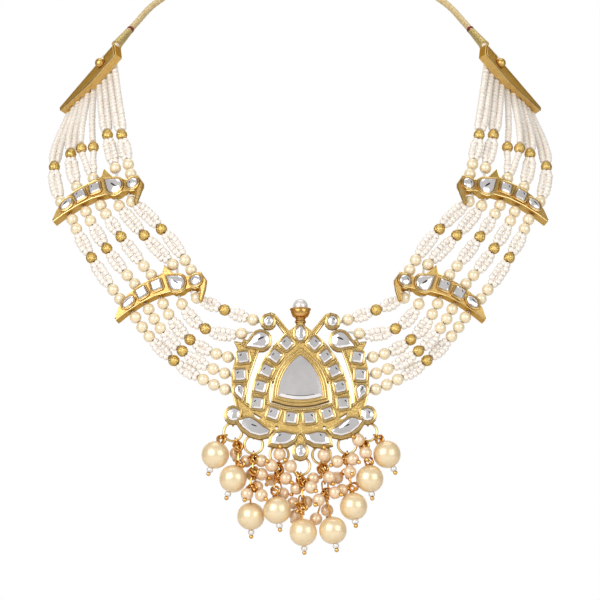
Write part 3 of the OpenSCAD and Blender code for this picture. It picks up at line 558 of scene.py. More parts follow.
def make_floor():
    """A plain pale round table, well under the drops, with a soft edge."""
    rim = [(FLOOR_R - 6, 0), (FLOOR_R - 1.5, -1.5), (FLOOR_R, -6), (FLOOR_R, -14), (FLOOR_R - 4, -18)]
    points, faces = turned([(0.5, 0), (FLOOR_R * 0.5, 0)] + rim + [(0.5, -18)], 96)
    shape = Shape()
    shape.add(points + vec(0, PENDANT[0][1] / 2, -FLOOR_DROP), faces)
    made_of("floor", shape, [FLOOR_PAINT], 40)


make_floor()


# Cord, its wraps and sleeves

# The cord's route from the nape to its wrap on the left
CORD_HALF = [[0, 0, 0], [13, -0.8, -0.3], [25.5, -3.4, -1.6], [37, -7.2, -4.4], [46.5, -12, -8.8],
             [53.9, -17.6, -13.9], [59.3, -24, -19.8], [61.4, -27.2, -22.2]]
CORD_SHIFT = vec(0, CORD_D / 2, 0)
route = np.array([mirrored(p, -1) for p in CORD_HALF[:0:-1]] + CORD_HALF) + CORD_SHIFT


def spline(points, steps):
    """A smooth curve through the points, with that many steps from one to the next."""
    pts = np.vstack([points[0], points, points[-1]])
    curve = []
    for a, b, c, d in zip(pts, pts[1:], pts[2:], pts[3:]):
        for t in np.arange(steps) / steps:
            curve.append(0.5 * (2 * b + (c - a) * t + (2 * a - 5 * b + 4 * c - d) * t * t
                                + (3 * b - a - 3 * c + d) * t ** 3))
    return np.array(curve + [points[-1]])


ROPE_LAY = 6.5        # distance in which the cord's three plies go once round
CORD_STEPS = 22


def rope_lobes(turn, run):
    return 0.93 + 0.09 * np.abs(np.cos(1.5 * (turn - 2 * math.pi * run / ROPE_LAY)))


def make_cord():
    path = spline(route, CORD_STEPS)
    shape = Shape()
    shape.add(*swept(path, CORD_D / 2, 24, lobes=rope_lobes))
    cord = piece("neck_cord_rope", shape, [CORD_GOLD], ["neck_cord"])


make_cord()

coarse_cord = spline(route, 2)
CORD_END = coarse_cord[0]
SLEEVE_WAY = unit(coarse_cord[0] - coarse_cord[1])
WRAP_START = CORD_END + SLEEVE_WAY * CLEAR
SLEEVE_START = WRAP_START + SLEEVE_WAY * (WRAP_L + CLEAR)
SLEEVE_MOUTH = SLEEVE_START + SLEEVE_WAY * SLEEVE_L
BOSS_AT = on(END_PLATE, (-BAR_L * 0.24, BAR_W * 0.5, -0.9))
BACK_D = SEED_D * 0.9


def bezier(a, b, c, steps):
    t = np.linspace(0, 1, steps)[:, None]
    return (1 - t) ** 2 * a + 2 * t * (1 - t) * b + t * t * c


def sleeve_points(rows, sides, weave):
    """A woven cone that opens towards its mouth: two crossing sets of slanting threads."""
    points = []
    for i in range(rows):
        share = i / (rows - 1)
        for k in range(sides):
            a = 2 * math.pi * k / sides
            first = math.sin(5 * a + share * 34)
            second = math.sin(5 * a - share * 34)
            lip = 0.12 * smooth((share - 0.93) / 0.04)
            r = mix(CORD_D + 0.1, SLEEVE_D, share) / 2 + weave * max(first, second) + lip
            points.append([r * math.cos(a), r * math.sin(a), share * SLEEVE_L])
    return points


def make_cord_ends(side, hand):
    wrap = Shape()
    turns = 5
    pitch = WRAP_L / turns
    coil = [[(CORD_D / 2 + 0.02) * math.cos(a), (CORD_D / 2 + 0.02) * math.sin(a),
             pitch * (0.5 + a / (2 * math.pi) * (turns - 1) / turns)]
            for a in np.linspace(0, 2 * math.pi * turns, turns * 20)]
    add_stood(wrap, hand, swept(coil, pitch * 0.56, 6), WRAP_START, SLEEVE_WAY)
    piece(side + "_wrap_thread", wrap, [MAROON], [side + "_cord_wrap"])

    sleeve = Shape()
    rows, sides = 64, 40
    outer = sleeve_points(rows, sides, 0.09)
    inner = [[1.05 * math.cos(a), 1.05 * math.sin(a), h] for h in (SLEEVE_L, SLEEVE_L - 3.4)
             for a in round_turn(sides)]
    ends = [list(range(sides))[::-1], [(rows + 1) * sides + k for k in range(sides)]]
    add_stood(sleeve, hand, (outer + inner, grid_faces(rows + 2, sides) + ends), SLEEVE_START, SLEEVE_WAY)
    piece(side + "_woven_sleeve", sleeve, [SLEEVE_GOLD], [side + "_cord_sleeve"])

    beads = Shape()
    back_way = unit(SLEEVE_MOUTH - BOSS_AT)
    start = BOSS_AT + back_way * 1.9
    end = SLEEVE_MOUTH - SLEEVE_WAY * 1.2
    path = bezier(start, SLEEVE_MOUTH + SLEEVE_WAY * 1.2, end, 60)
    thread_path = bezier(BOSS_AT + back_way * 0.6, SLEEVE_MOUTH + SLEEVE_WAY * 1.2, end, 24)
    thread, faces = swept(thread_path, THREAD_D / 2, 6)
    beads.add(mirrored(thread, hand), faces, 1)
    string_beads(beads, path, BACK_D * SEED_BULGE, 1.8, np.random.default_rng(11), hand)
    piece(side + "_back_seeds", beads, [SEED_WHITE, THREAD_WHITE], [side + "_back_string"])


# Strands

SEED_PITCH = 1.75       # distance from seed bead to seed bead along the thread
SEED_OUTLINE_D = 2.16   # a plain seed bead's width in the outline below, which bulges past it
SEED_BULGE = 1.05
seed_outline = [(0.31, -0.80), (0.60, -0.92), (0.95, -0.80), (1.12, -0.45), (1.18, 0), (1.12, 0.45),
                (0.95, 0.80), (0.60, 0.92), (0.31, 0.80)]
SEED_POINTS, SEED_FACES = turned(seed_outline, 12)


def string_beads(shape, path, d, pitch, draw, hand):
    """Seed beads side by side along a path, each a little tilted and of its own size."""
    runs = distances(path)
    count = max(1, round(runs[-1] / pitch))
    step = runs[-1] / count
    for run in (np.arange(count) + 0.5) * step:
        at = vec(*[np.interp(run, runs, path[:, k]) for k in range(3)])
        ahead = vec(*[np.interp(run + 0.3, runs, path[:, k]) for k in range(3)])
        behind = vec(*[np.interp(run - 0.3, runs, path[:, k]) for k in range(3)])
        way = unit(ahead - behind) + draw.normal(0, 0.07, 3)
        size = d / SEED_OUTLINE_D * draw.uniform(0.95, 1.03)
        points = SEED_POINTS * [size, size, step / SEED_PITCH * draw.uniform(0.94, 1.02)]
        add_stood(shape, hand, (points, SEED_FACES), at, way, draw.uniform(0, 6.28))


THREAD_OFF = (THREAD_D + 0.16) / 2
BEAD_BORE_D = 2 * (THREAD_OFF + THREAD_D / 2) + 0.26
BORE_LEVEL = BEAD_BORE_D / 2 + 0.45
SEED_OFF = SEED_D / 2 + 0.1
ANCHOR = 2.2
PITCH = PEARL_D + BEAD_GAP
STRANDS = 5
BAR_PITCH = BAR_L * 0.0905
# Where the strands cross a spacer: along and up at its lower edge, along and up at its upper edge,
# as shares of the spacer's length
CROSS = [[-0.122, -0.102, -0.010, 0.104], [-0.262, -0.078, -0.160, 0.268],
         [-0.452, 0.030, -0.435, 0.266], [-0.630, 0.040, -0.642, 0.256],
         [-0.806, 0.024, -0.862, 0.170]]
# Where a strand leaves the pendant: across and up as shares of the plate's height
ATTACH = [[-0.468, 1.020], [-0.594, 0.894], [-0.750, 0.600], [-0.788, 0.406], [-0.785, 0.218]]
# Pearls at the start and end of each of a strand's three sections
PEARLS = [[[1, 1], [2, 1], [2, 0]], [[1, 1], [1, 1], [1, 0]], [[2, 2], [2, 2], [1, 0]],
          [[2, 3], [2, 2], [1, 0]], [[3, 3], [2, 2], [1, 0]]]
# Place of the gold bead along each section
GOLD_AT = [[0.50, 0.54, 0.362], [0.51, 0.50, 0.362], [0.48, 0.54, 0.342], [0.46, 0.50, 0.373],
           [0.50, 0.52, 0.375]]
# How far each section bows from a straight line, across, out and up
BOW = [[[-0.6, 0.8, -0.4], [1.4, -1, 1.4], [-1.2, 0, 2]],
       [[-2.5, -1.8, -5], [-1, -1, 0.1], [-1.4, 0, 2]],
       [[-3, -0.5, -3.9], [-2, -1, 1.2], [-2.2, 0, 2]],
       [[-3, -2.8, -3.4], [-2, -1, 0.2], [-2.9, 0, 2]],
       [[-2.8, -0.8, -3.1], [-1.9, -1, 0.4], [-3.8, 0, 2]]]
SPLIT_STRAND = 2          # this strand has two gold beads side by side near the end plate
SPLIT_OFF = (GOLD_D + 0.3) / 2
BOW_STEPS = 24
PINCH = 1.9               # over this length two strings draw together at a bead
SWAY = 0.22


def cross_point(spacer, strand, end):
    share = CROSS[strand][2 * end:2 * end + 2]
    return on(SPACERS[spacer], (share[0] * SPACER_L, share[1] * SPACER_L, BORE_LEVEL))


def hole_at(strand, hand):
    """The hole of a strand's string in the end plate."""
    return on(END_PLATE, (-BAR_L * 0.138 - BAR_PITCH * (2 * strand + (1 - hand) / 2), BAR_W * 0.4, BAR_T))


class Section:
    """One stretch of a strand: its bowed way, the runs of its pearls and of its gold bead."""

    def __init__(self, strand, number):
        self.number = number
        start = [on(PENDANT, (ATTACH[strand][0] * PLATE_H, ATTACH[strand][1] * PLATE_H, BORE_LEVEL)),
                 cross_point("lower", strand, 1), cross_point("upper", strand, 1)][number]
        self.holes = {hand: hole_at(strand, hand) for hand in (1, -1)}
        end = [cross_point("lower", strand, 0), cross_point("upper", strand, 0),
               (self.holes[1] + self.holes[-1]) / 2][number]
        self.start, self.end, self.bow = start, end, vec(*BOW[strand][number])
        self.shares = np.linspace(0, 1, BOW_STEPS + 1)
        self.runs = distances(self.bowed(self.shares))
        self.length = self.runs[-1]
        first, last = PEARLS[strand][number]
        self.seeds_from = BEAD_GAP / 2 + first * PITCH
        self.seeds_to = self.length - BEAD_GAP / 2 - last * PITCH
        self.pearls = [BEAD_GAP + PEARL_D / 2 + n * PITCH for n in range(first)]
        self.pearls += [self.length - BEAD_GAP - PEARL_D / 2 - n * PITCH for n in range(last)]
        self.gold = self.length * GOLD_AT[strand][number]
        self.split = number == 2 and strand == SPLIT_STRAND

    def bowed(self, share):
        share = np.asarray(share)[..., None]
        fullness = (1.6 - 1.1 * share) if self.number == 2 else 1
        return mix(self.start, self.end, share) + 4 * share * (1 - share) * fullness * self.bow

    def at(self, run):
        return self.bowed(np.interp(run, self.runs, self.shares))

    def across(self, run):
        return unit(np.cross(self.at(run + 0.5) - self.at(run - 0.5), vec(0, -1, 0)))

    def string(self, start, end, off_from, off_to, hand, to_plate=False):
        """One of two strings side by side between two beads, as a path."""
        path = []
        for share in np.linspace(0, 1, 60):
            run = mix(start, end, share)
            base = mix(off_from, off_to, share)
            near_end = run - start if to_plate else min(run - start, end - run)
            off = mix(base, max(SEED_OFF, base), smooth(near_end / PINCH))
            sway = math.sin(run * 0.55 + self.length) * smooth(near_end / 4) * SWAY
            p = self.at(run) + hand * (off + 0.4 * abs(sway)) * self.across(run) + vec(0, hand * sway, 0)
            if to_plate:
                p = mix(p, self.at(run) + self.holes[hand] - self.end, share)
            path.append(p)
        return np.array(path)


def make_strand(side, hand, strand):
    sections = [Section(strand, k) for k in range(3)]
    node = f"{side}_strand_{strand + 1}"
    draw = np.random.default_rng(100 + 10 * strand + (hand > 0))
    pearls, seeds = Shape(), Shape()
    pearl = turned(pearl_profile(PEARL_D, BEAD_BORE_D), 28)
    for s in sections:
        for run in s.pearls:
            a, b = s.at(run - PEARL_D / 2), s.at(run + PEARL_D / 2)
            add_stood(pearls, hand, pearl, (a + b) / 2, b - a)
    for string in (1, -1):
        threads = [sections[0].start - ANCHOR * 0.8 * unit(sections[0].at(3) - sections[0].start)]
        for s in sections:
            gold_edge = GOLD_D / 2 + BEAD_GAP / 2
            off = SPLIT_OFF if s.split else THREAD_OFF
            spans = [s.string(s.seeds_from, s.gold - gold_edge, THREAD_OFF, off, string),
                     s.string(s.gold + gold_edge, s.length if s.number == 2 else s.seeds_to, off,
                              off if s.number == 2 else THREAD_OFF, string, s.number == 2)]
            threads.append(s.start + string * THREAD_OFF * s.across(0.5))
            for path in spans:
                string_beads(seeds, path[1:-1], SEED_D * SEED_BULGE, SEED_PITCH, draw, hand)
                threads += list(path[::3])
            if s.number < 2:
                threads.append(s.end + string * THREAD_OFF * s.across(s.length - 0.5))
        last = unit(sections[2].end - sections[2].at(sections[2].length - 3))
        threads.append(sections[2].holes[string] + last * ANCHOR * 0.8)
        tube, faces = swept(threads, THREAD_D / 2, 6)
        seeds.add(mirrored(tube, hand), faces, 1)
    piece(node + "_pearl_row", pearls, [STRAND_PEARL], [node + "_pearls"])
    piece(node + "_seeds", seeds, [SEED_WHITE, THREAD_WHITE], [node + "_strings"])


def cut_bead(d, bore):
    """A gold bead cut all over with small diamonds."""
    rows, sides = 14, 20
    points = []
    start = math.asin(bore / d)
    for j in range(rows + 1):
        v = mix(start, math.pi - start, j / rows)
        for k in range(sides):
            a = 2 * math.pi * (k + 0.5 * (j % 2)) / sides
            r = d / 2 * (1 if (k + j // 2) % 2 else 0.93)
            points.append([r * math.sin(v) * math.cos(a), r * math.sin(v) * math.sin(a), -r * math.cos(v)])
    return np.array(points), grid_faces(rows + 1, sides, True)


def make_gold_beads(side, hand):
    shape = Shape()
    bead = cut_bead(GOLD_D * 1.02, 2 * THREAD_OFF + THREAD_D)
    for strand in range(STRANDS):
        for k in range(3):
            s = Section(strand, k)
            a, b = s.at(s.gold - GOLD_D / 2), s.at(s.gold + GOLD_D / 2)
            aside = unit(np.cross(b - a, vec(0, -1, 0)))
            for off in ([-SPLIT_OFF, SPLIT_OFF] if s.split else [0]):
                add_stood(shape, hand, bead, (a + b) / 2 + off * aside, b - a, strand + k)
    piece(side + "_cut_gold_beads", shape, [BEAD_GOLD], [side + "_gold_beads"], crease=12)


for side, hand in SIDES.items():
    make_cord_ends(side, hand)
    for strand in range(STRANDS):
        make_strand(side, hand, strand)
    make_gold_beads(side, hand)


# Castings: the solid keeps its form, and thin wires brighten its edges and the stones' rims

def node_mesh(node, at, hand=1):
    """The node's points in a casting's frame, in millimetres, merged, and its triangles."""
    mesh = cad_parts[node].data
    mesh.calc_loop_triangles()
    points = np.array([v.co for v in mesh.vertices]) / MM * [hand, 1, 1]
    keys, index = np.unique(np.round(in_axes(at, points), 3), axis=0, return_inverse=True)
    corners = np.array([t.vertices for t in mesh.loop_triangles])
    triangles = index.reshape(-1)[corners]
    if hand < 0:
        triangles = triangles[:, ::-1]
    return keys, triangles


def edge_runs(points, triangles, level):
    """Where a flat face at that level ends and a wall goes down: each run of points, and if it closes."""
    tops, walls = {}, {}
    for tri in triangles:
        a, b, c = points[tri]
        normal = np.cross(b - a, c - a)
        size = np.linalg.norm(normal)
        if size < 1e-9:
            continue
        flat = normal[2] / size
        for i in range(3):
            p, q, r = tri[i], tri[(i + 1) % 3], tri[(i + 2) % 3]
            if abs(points[p][2] - level) > 0.02 or abs(points[q][2] - level) > 0.02:
                continue
            if flat > 0.9:
                tops[(p, q)] = True
            elif abs(flat) < 0.3 and points[r][2] < level - 0.05:
                walls[(q, p)] = True
    following, arrived = {}, set()
    for p, q in tops:
        if (p, q) in walls:
            following.setdefault(p, []).append(q)
            arrived.add(q)
    runs = []
    while following:
        loose = [p for p in following if p not in arrived]
        start = loose[0] if loose else next(iter(following))
        run, here, closed = [start], start, False
        while following.get(here) and not closed:
            there = following[here].pop()
            if not following[here]:
                del following[here]
            closed = there == start
            if not closed:
                run.append(there)
                here = there
        if len(run) > 7:
            runs.append((points[run][:, :2], closed))
    return runs


def inset(loop, d):
    """The closed loop moved by d towards its left, which is the metal's side."""
    before, after = np.roll(loop, 1, 0), np.roll(loop, -1, 0)
    e1 = (loop - before) / np.maximum(1e-9, np.linalg.norm(loop - before, axis=1))[:, None]
    e2 = (after - loop) / np.maximum(1e-9, np.linalg.norm(after - loop, axis=1))[:, None]
    n1 = np.stack([-e1[:, 1], e1[:, 0]], 1)
    n2 = np.stack([-e2[:, 1], e2[:, 0]], 1)
    return loop + d * (n1 + n2) / np.maximum(0.6, 1 + (n1 * n2).sum(1))[:, None]


def run_length(run):
    return np.linalg.norm(np.diff(run, axis=0), axis=1).sum()


def spaced(run, gap, closed):
    """Points at equal distances along a run."""
    ring = np.vstack([run, run[:1]]) if closed else run
    runs = distances(ring)
    count = max(6, round(runs[-1] / gap))
    at = np.arange(count) * runs[-1] / count
    return np.stack([np.interp(at, runs, ring[:, k]) for k in (0, 1)], 1)


def add_on(shape, at, hand, made, finish=0):
    """Adds points and faces made in a casting's frame, on the left or mirrored."""
    points, faces = made
    shape.add(mirrored(all_on(at, points), hand), faces, finish)


def raised(run, height):
    return np.column_stack([run, np.full(len(run), height)])


def edge_wire(shape, at, hand, run, height, d, finish=0, closed=True):
    add_on(shape, at, hand, swept(raised(run, height), d / 2, 8, up=vec(0, 0, 1), closed=closed), finish)


EDGE_WIRE = 0.42
RIM_WIRE = 0.32
SEAM_WIRE = 0.26
GRAIN_D = 0.54
GRAIN_GAP = 0.66
GRAIN_POINTS, GRAIN_FACES = ball(1, 6, 4)


def grains(shape, at, hand, run, height, closed):
    for p in spaced(run, GRAIN_GAP, closed):
        add_on(shape, at, hand, (GRAIN_POINTS * GRAIN_D + [p[0], p[1], height], GRAIN_FACES))


def moved_in(run, d, closed):
    """A run moved onto the metal; an open one loses its ends, whose directions aren't known."""
    return inset(run, d) if closed else inset(run, d)[2:-2]


def dress_casting(node, at, hand, face, rim_level, granulated, finish):
    """Edge wires round the casting's face and on its rims, a row of grains and a dark seam."""
    points, triangles = node_mesh(node, at, hand)
    trim = Shape()
    for run, closed in edge_runs(points, triangles, face):
        if run_length(run) > 5:
            edge_wire(trim, at, hand, moved_in(run, 0.17, closed), face + 0.05, EDGE_WIRE, 0, closed)
            if granulated and run_length(run) > 12:
                grains(trim, at, hand, moved_in(run, 0.68, closed), face + 0.02, closed)
                edge_wire(trim, at, hand, moved_in(run, 1.12, closed), face - 0.02, SEAM_WIRE, 1, closed)
    for level in {rim_level, rim_level + RIM_H}:
        for run, closed in edge_runs(points, triangles, level):
            edge_wire(trim, at, hand, moved_in(run, 0.12, closed), level + 0.02, RIM_WIRE, 0, closed)
    piece(node + "_trim", trim, [RIM_GOLD, SEAM_AND_SHADE_GOLD])
    refinish(node, finish)


def refinish(node, finish):
    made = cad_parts[node]
    made.data.materials.clear()
    made.data.materials.append(finish)


def dress_end_plate(side, hand):
    """The granulated upper face of an end plate, between two wires."""
    trim = Shape()
    outline = np.array([[0, 0], [0, BAR_W], [-BAR_L * 0.45, BAR_W], [-BAR_L, BAR_W * 0.3], [-BAR_L, 0]])
    face = inset(outline[::-1], -0.35)[::-1]
    low, high = [[*p, 0.02] for p in face], [[*p, -0.14] for p in face]
    n = len(face)
    sides = [[i, n + i, n + (i + 1) % n, (i + 1) % n] for i in range(n)]
    add_on(trim, END_PLATE, hand, (low + high, sides + [list(range(n, 2 * n))[::-1]]), 1)
    for margin, height, d in ((0, 0.06, EDGE_WIRE), (-0.75, -0.16, 0.3)):
        ring = spaced(inset(outline[::-1], margin)[::-1], 0.8, True)
        add_on(trim, END_PLATE, hand, swept(raised(ring, height), d / 2, 6, closed=True))
    piece(side + "_end_plate_trim", trim, [RIM_GOLD, STRIP_GOLD])
    refinish(side + "_end_plate", BOX_GOLD)


dress_casting("pendant_frame", PENDANT, 1, FRAME_T, FRAME_T + RIM_H, True, CAST_GOLD)
for side, hand in SIDES.items():
    for level, at in SPACERS.items():
        dress_casting(f"{side}_{level}_spacer", at, hand, SPACER_T - RIM_H, SPACER_T, False, BOX_GOLD)
    dress_end_plate(side, hand)


# Stones

CENTRE_W = 9.0            # stones narrower than this are cut with kite facets
DOME_SHARE = 0.045        # height of a kite-cut stone's domed table, to its width
STRAIGHT_POINTS = 9       # an outline with more points than this is curved


def stone_outlines(node, at, hand=1):
    """Each stone's girdle, its foot and its top, read from the node's own solids."""
    points, triangles = node_mesh(node, at, hand)
    group = list(range(len(points)))

    def root(i):
        while group[i] != i:
            i = group[i]
        return i

    for a, b, c in triangles:
        group[root(a)] = root(b)
        group[root(b)] = root(c)
    found = {}
    for i in range(len(points)):
        found.setdefault(root(i), []).append(i)
    stones = []
    for members in found.values():
        part = points[members]
        levels = np.unique(np.round(part[:, 2], 1))
        foot, top = part[:, 2].min(), part[:, 2].max()
        girdle = next(z for z in levels if z > foot + 0.3)
        ring = part[np.abs(part[:, 2] - girdle) < 0.08][:, :2]
        middle = ring.mean(0)
        order = np.argsort(np.arctan2(*(ring - middle).T[::-1]))
        stones.append((ring[order], foot, part[np.abs(part[:, 2] - girdle) < 0.08][:, 2].mean(), top))
    return stones


def cut_stone(shape, at, hand, ring, foot, girdle, top, slope):
    """A stone with a table and a straight girdle. Long-sided stones get plain bevels and a flat
    table, the others a ring of kite facets and a table polished to a low dome."""
    n = len(ring)
    middle = ring.mean(0)
    narrow = 2 * np.linalg.norm(ring - middle, axis=1).min()
    kites = n > STRAIGHT_POINTS and narrow < CENTRE_W
    table = inset(ring, slope) if n > STRAIGHT_POINTS else mix(middle, ring, 1 - 2 * slope / narrow)
    half = mix(ring, table, 0.5)
    between = (half + np.roll(half, -1, 0)) / 2 if kites else half
    bevel = mix(girdle, top, 0.62 if kites else 0.5)
    dome = narrow * DOME_SHARE if kites else 0
    inner, core = mix(middle, table, 0.68), mix(middle, table, 0.34)
    rows = [(ring, foot), (ring, girdle), (between, bevel), (table, top), (inner, top + dome * 0.55),
            (core, top + dome * 0.9)]
    points = np.vstack([raised(r, z) for r, z in rows] + [[*middle, foot], [*middle, top + dome]])
    faces = [[i, (i + 1) % n, n + (i + 1) % n, n + i] for i in range(n)]
    faces += [[n + i, n + (i + 1) % n, 2 * n + i] for i in range(n)]
    faces += [[n + i, 2 * n + i, 3 * n + i, 2 * n + (i - 1) % n] for i in range(n)]
    faces += [[2 * n + i, 3 * n + (i + 1) % n, 3 * n + i] for i in range(n)]
    faces += [[k * n + i, k * n + (i + 1) % n, (k + 1) * n + (i + 1) % n, (k + 1) * n + i]
              for k in (3, 4) for i in range(n)]
    faces += [[5 * n + i, 5 * n + (i + 1) % n, 6 * n + 1] for i in range(n)]
    faces += [[6 * n, (i + 1) % n, i] for i in range(n)]
    add_on(shape, at, hand, (points, faces))
    return table, dome


def painted_reflection_slash(shape, at, hand, foot, height, turn, length, width):
    """A painted dark reflection: a thin dark facet on the table."""
    along, out = vec(math.cos(turn), math.sin(turn)), vec(-math.sin(turn), math.cos(turn))
    ends = [(-1, 0), (-0.45, -0.5), (0.6, -0.5), (1, 0), (0.5, 0.5), (-0.4, 0.4)]
    points = [[*(foot + along * length / 2 * a + out * width * b), height] for a, b in ends]
    add_on(shape, at, hand, (points, [list(range(6))]), 1)


def painted_lower_reflection(shape, at, hand, table, top):
    """A painted dark reflection: a dark line along the big stone's lower edge."""
    low = table[table[:, 1] < table[:, 1].min() + 1.6]
    low = low[np.argsort(low[:, 0])]
    path = raised(low + vec(0, 0.16), top + 0.01)
    add_on(shape, at, hand, swept(path[1:-1], 0.11, 6, up=vec(0, 0, 1)), 1)


def make_stones(node, at, hand=1, slope_share=0.15):
    shape = Shape()
    for ring, foot, girdle, top in stone_outlines(node, at, hand):
        middle = ring.mean(0)
        spans = np.linalg.norm(ring - middle, axis=1)
        narrow = 2 * spans.min()
        table, dome = cut_stone(shape, at, hand, ring, foot, girdle, top, narrow * slope_share)
        # Painted shade: a dark wire round the girdle where the stone sits in its setting.
        edge_wire(shape, at, hand, inset(ring, -0.07), girdle + 0.02, 0.2, 2)
        outward = 1 if middle[0] > 0 else -1
        # Painted dark reflections on the table: a line low on the big stone, a slash on the others.
        if narrow > CENTRE_W:
            painted_lower_reflection(shape, at, hand, table, top)
        elif spans.max() > 1.5 * spans.min() and len(ring) > STRAIGHT_POINTS:
            far = ring[spans.argmax()] - middle
            turn = math.atan2(far[1], far[0])
            foot_at = middle + vec(0.3 * outward, 0.5) * narrow * 0.18
            painted_reflection_slash(shape, at, hand, foot_at, top + dome + 0.01, turn, narrow * 0.62, narrow * 0.13)
        else:
            out = unit(vec(outward, 0.9))
            reach = np.abs((table - middle) @ out).max()
            painted_reflection_slash(shape, at, hand, middle + out * reach * 0.66, top + dome + 0.01,
                        math.atan2(out[0], -out[1]), min(1.2, narrow * 0.3), min(0.4, narrow * 0.11))
    piece(node + "_cut", shape, [STONE, STONE_DARK_REFLECTION, SEAM_AND_SHADE_GOLD], [node], crease=5)


for node in ("border_stones", "peak_stone", "lower_stones", "left_wing_stones", "right_wing_stones"):
    make_stones(node, PENDANT)
make_stones("centre_stone", PENDANT, slope_share=0.085)
for side, hand in SIDES.items():
    for level, at in SPACERS.items():
        make_stones(f"{side}_{level}_spacer_stones", at, hand)


# Drops

SPREAD = DROP_D
RING_PLANE = -RING_WIRE / 2 - 0.35
WIRE_BORE_D = DROP_WIRE + 0.24
BALL_D = 1.3
BALL_LOOK_D = 1.6
LOOP_R = RING_WIRE / 2 + 0.2 + DROP_WIRE * 0.53
KNOT_R = LOOP_R + 0.36
SEED_SPACE = 1.6
RINGS = [[-0.762, -0.236], [-0.529, -0.382], [-0.239, -0.497], [0.004, -0.624]]
ring_places = [vec(*r) * PLATE_H for r in RINGS + [[-x, y] for x, y in RINGS[2::-1]]]
# Bunch: ring, direction of its loop round the ring, the wire's knuckles and the big pearl, each
# across, out and up in big pearls' widths
BUNCH = [
    [0, 206, [], [-3.06, 0, -1.58]],
    [0, 290, [[-2.26, 0.04, -1.22], [-2.22, 0.06, -1.86]], [-2.42, 0, -2.45]],
    [1, 270, [[-1.70, 0.06, -1.66], [-1.72, 0.08, -2.12], [-1.80, 0.02, -2.72]], [-1.78, -0.20, -3.78]],
    [2, 270, [[-0.80, -0.06, -2.22], [-0.96, 0.14, -2.84]], [-0.84, 0.20, -3.63]],
    [3, 270, [[0.08, 0.16, -2.56], [0.04, 0.22, -3.44]], [0.10, 0, -4.40]],
    [4, 270, [[0.82, 0.08, -2.02], [0.90, -0.04, -2.86]], [1.17, 0, -4.33]],
    [5, 270, [[1.64, 0.04, -1.64], [1.68, -0.06, -2.10], [1.82, -0.12, -2.66]], [1.91, 0, -3.46]],
    [6, 250, [[2.28, 0.10, -1.18], [2.40, -0.06, -1.74]], [2.49, 0, -2.45]],
    [6, 334, [], [3.11, 0, -1.56]]]
# Small pearl: bunch, knuckle, across, out and up
CLUSTER = [
    [1, 0, -2.32, -0.28, -1.48], [2, 0, -1.94, -0.18, -1.78], [2, 0, -1.40, 0.02, -1.80],
    [2, 1, -1.39, 0.02, -2.29], [2, 1, -1.74, -0.32, -2.24], [3, 0, -0.75, 0.34, -1.62],
    [3, 0, -1.04, 0.30, -2.02], [4, 0, -0.35, 0.34, -2.06], [3, 0, -1.04, -0.36, -2.42],
    [3, 0, -0.52, 0.12, -2.46], [2, 1, -1.56, -0.26, -2.70], [2, 2, -1.92, 0.26, -3.06],
    [2, 2, -1.40, 0.50, -3.14], [3, 0, -0.63, -0.20, -2.96], [4, 0, -0.14, -0.02, -2.80],
    [4, 1, -0.26, -0.34, -3.28], [4, 1, 0.22, -0.10, -3.28], [4, 0, 0.38, 0.46, -2.84],
    [4, 0, 0.46, -0.04, -2.44], [4, 1, -0.18, -0.26, -3.76], [5, 1, 0.56, -0.32, -3.86],
    [5, 1, 0.66, 0.34, -3.28], [5, 1, 0.96, -0.36, -3.54], [5, 0, 1.04, 0.24, -2.44],
    [5, 0, 0.84, 0.34, -1.65], [5, 1, 1.24, 0.22, -3.00], [6, 0, 1.32, 0.22, -1.86],
    [6, 0, 1.88, 0.22, -1.78], [7, 0, 2.08, 0.36, -1.10], [7, 0, 2.34, 0.30, -1.56],
    [6, 1, 1.78, 0.27, -2.25], [6, 1, 1.32, -0.24, -2.38], [6, 2, 1.50, -0.16, -2.84]]


def in_cluster(p):
    return vec(p[0] * SPREAD, p[2] * SPREAD, RING_PLANE + p[1] * SPREAD)


def ring_way(bunch):
    turn = math.radians(BUNCH[bunch][1])
    return vec(math.cos(turn), math.sin(turn), 0)


def hook(bunch):
    return vec(*ring_places[BUNCH[bunch][0]], RING_PLANE) + RING_R * ring_way(bunch)


def knots(bunch):
    return [hook(bunch) + KNOT_R * ring_way(bunch)] + [in_cluster(k) for k in BUNCH[bunch][2]]


def add_on_pendant(shape, made, at, way, spin=0.0, finish=0):
    points, faces = made
    shape.add(all_on(PENDANT, stood(points, at, way, spin)), faces, finish)


def wound(r, wire, turns, height):
    """A short coil of wire round the z axis."""
    angles = np.linspace(0, 2 * math.pi * turns, int(turns * 10) + 1)
    path = [[r * math.cos(a), r * math.sin(a), height * a / angles[-1]] for a in angles]
    return swept(path, wire / 2, 6)


EYE_R = 1.1
PIN_WIRE = 0.66
LINK_L = 3.0              # a chain link's usual length along the chain
LINK_R = 1.1
EXTRA_HOOP_R = 1.6        # loose loops of wire round each knot


def head_pin(shape, knot, pearl, reach, twist):
    """A pin with a wrapped eye at the knot and a ball past its pearl."""
    way = unit(pearl - knot)
    tip = pearl + way * reach
    eye = knot + way * (EYE_R + 0.1)
    eye_side = np.cross(way, unit(vec(math.cos(twist), 0.3, math.sin(twist))))
    add_on_pendant(shape, hoop(EYE_R, PIN_WIRE, 14, 6), eye, eye_side)
    stem = eye + way * EYE_R
    add_on(shape, PENDANT, 1, swept([stem, (stem + tip) / 2, tip], PIN_WIRE / 2, 8))
    room = np.linalg.norm(pearl - stem)
    coil = min(1.5, max(0.5, room - SMALL_D / 2 - 0.3))
    add_on_pendant(shape, wound(PIN_WIRE * 1.05, PIN_WIRE * 0.85, 3, coil), stem + way * 0.05, way)
    add_on_pendant(shape, ball(BALL_LOOK_D, 14, 8), tip, way)
    return tip


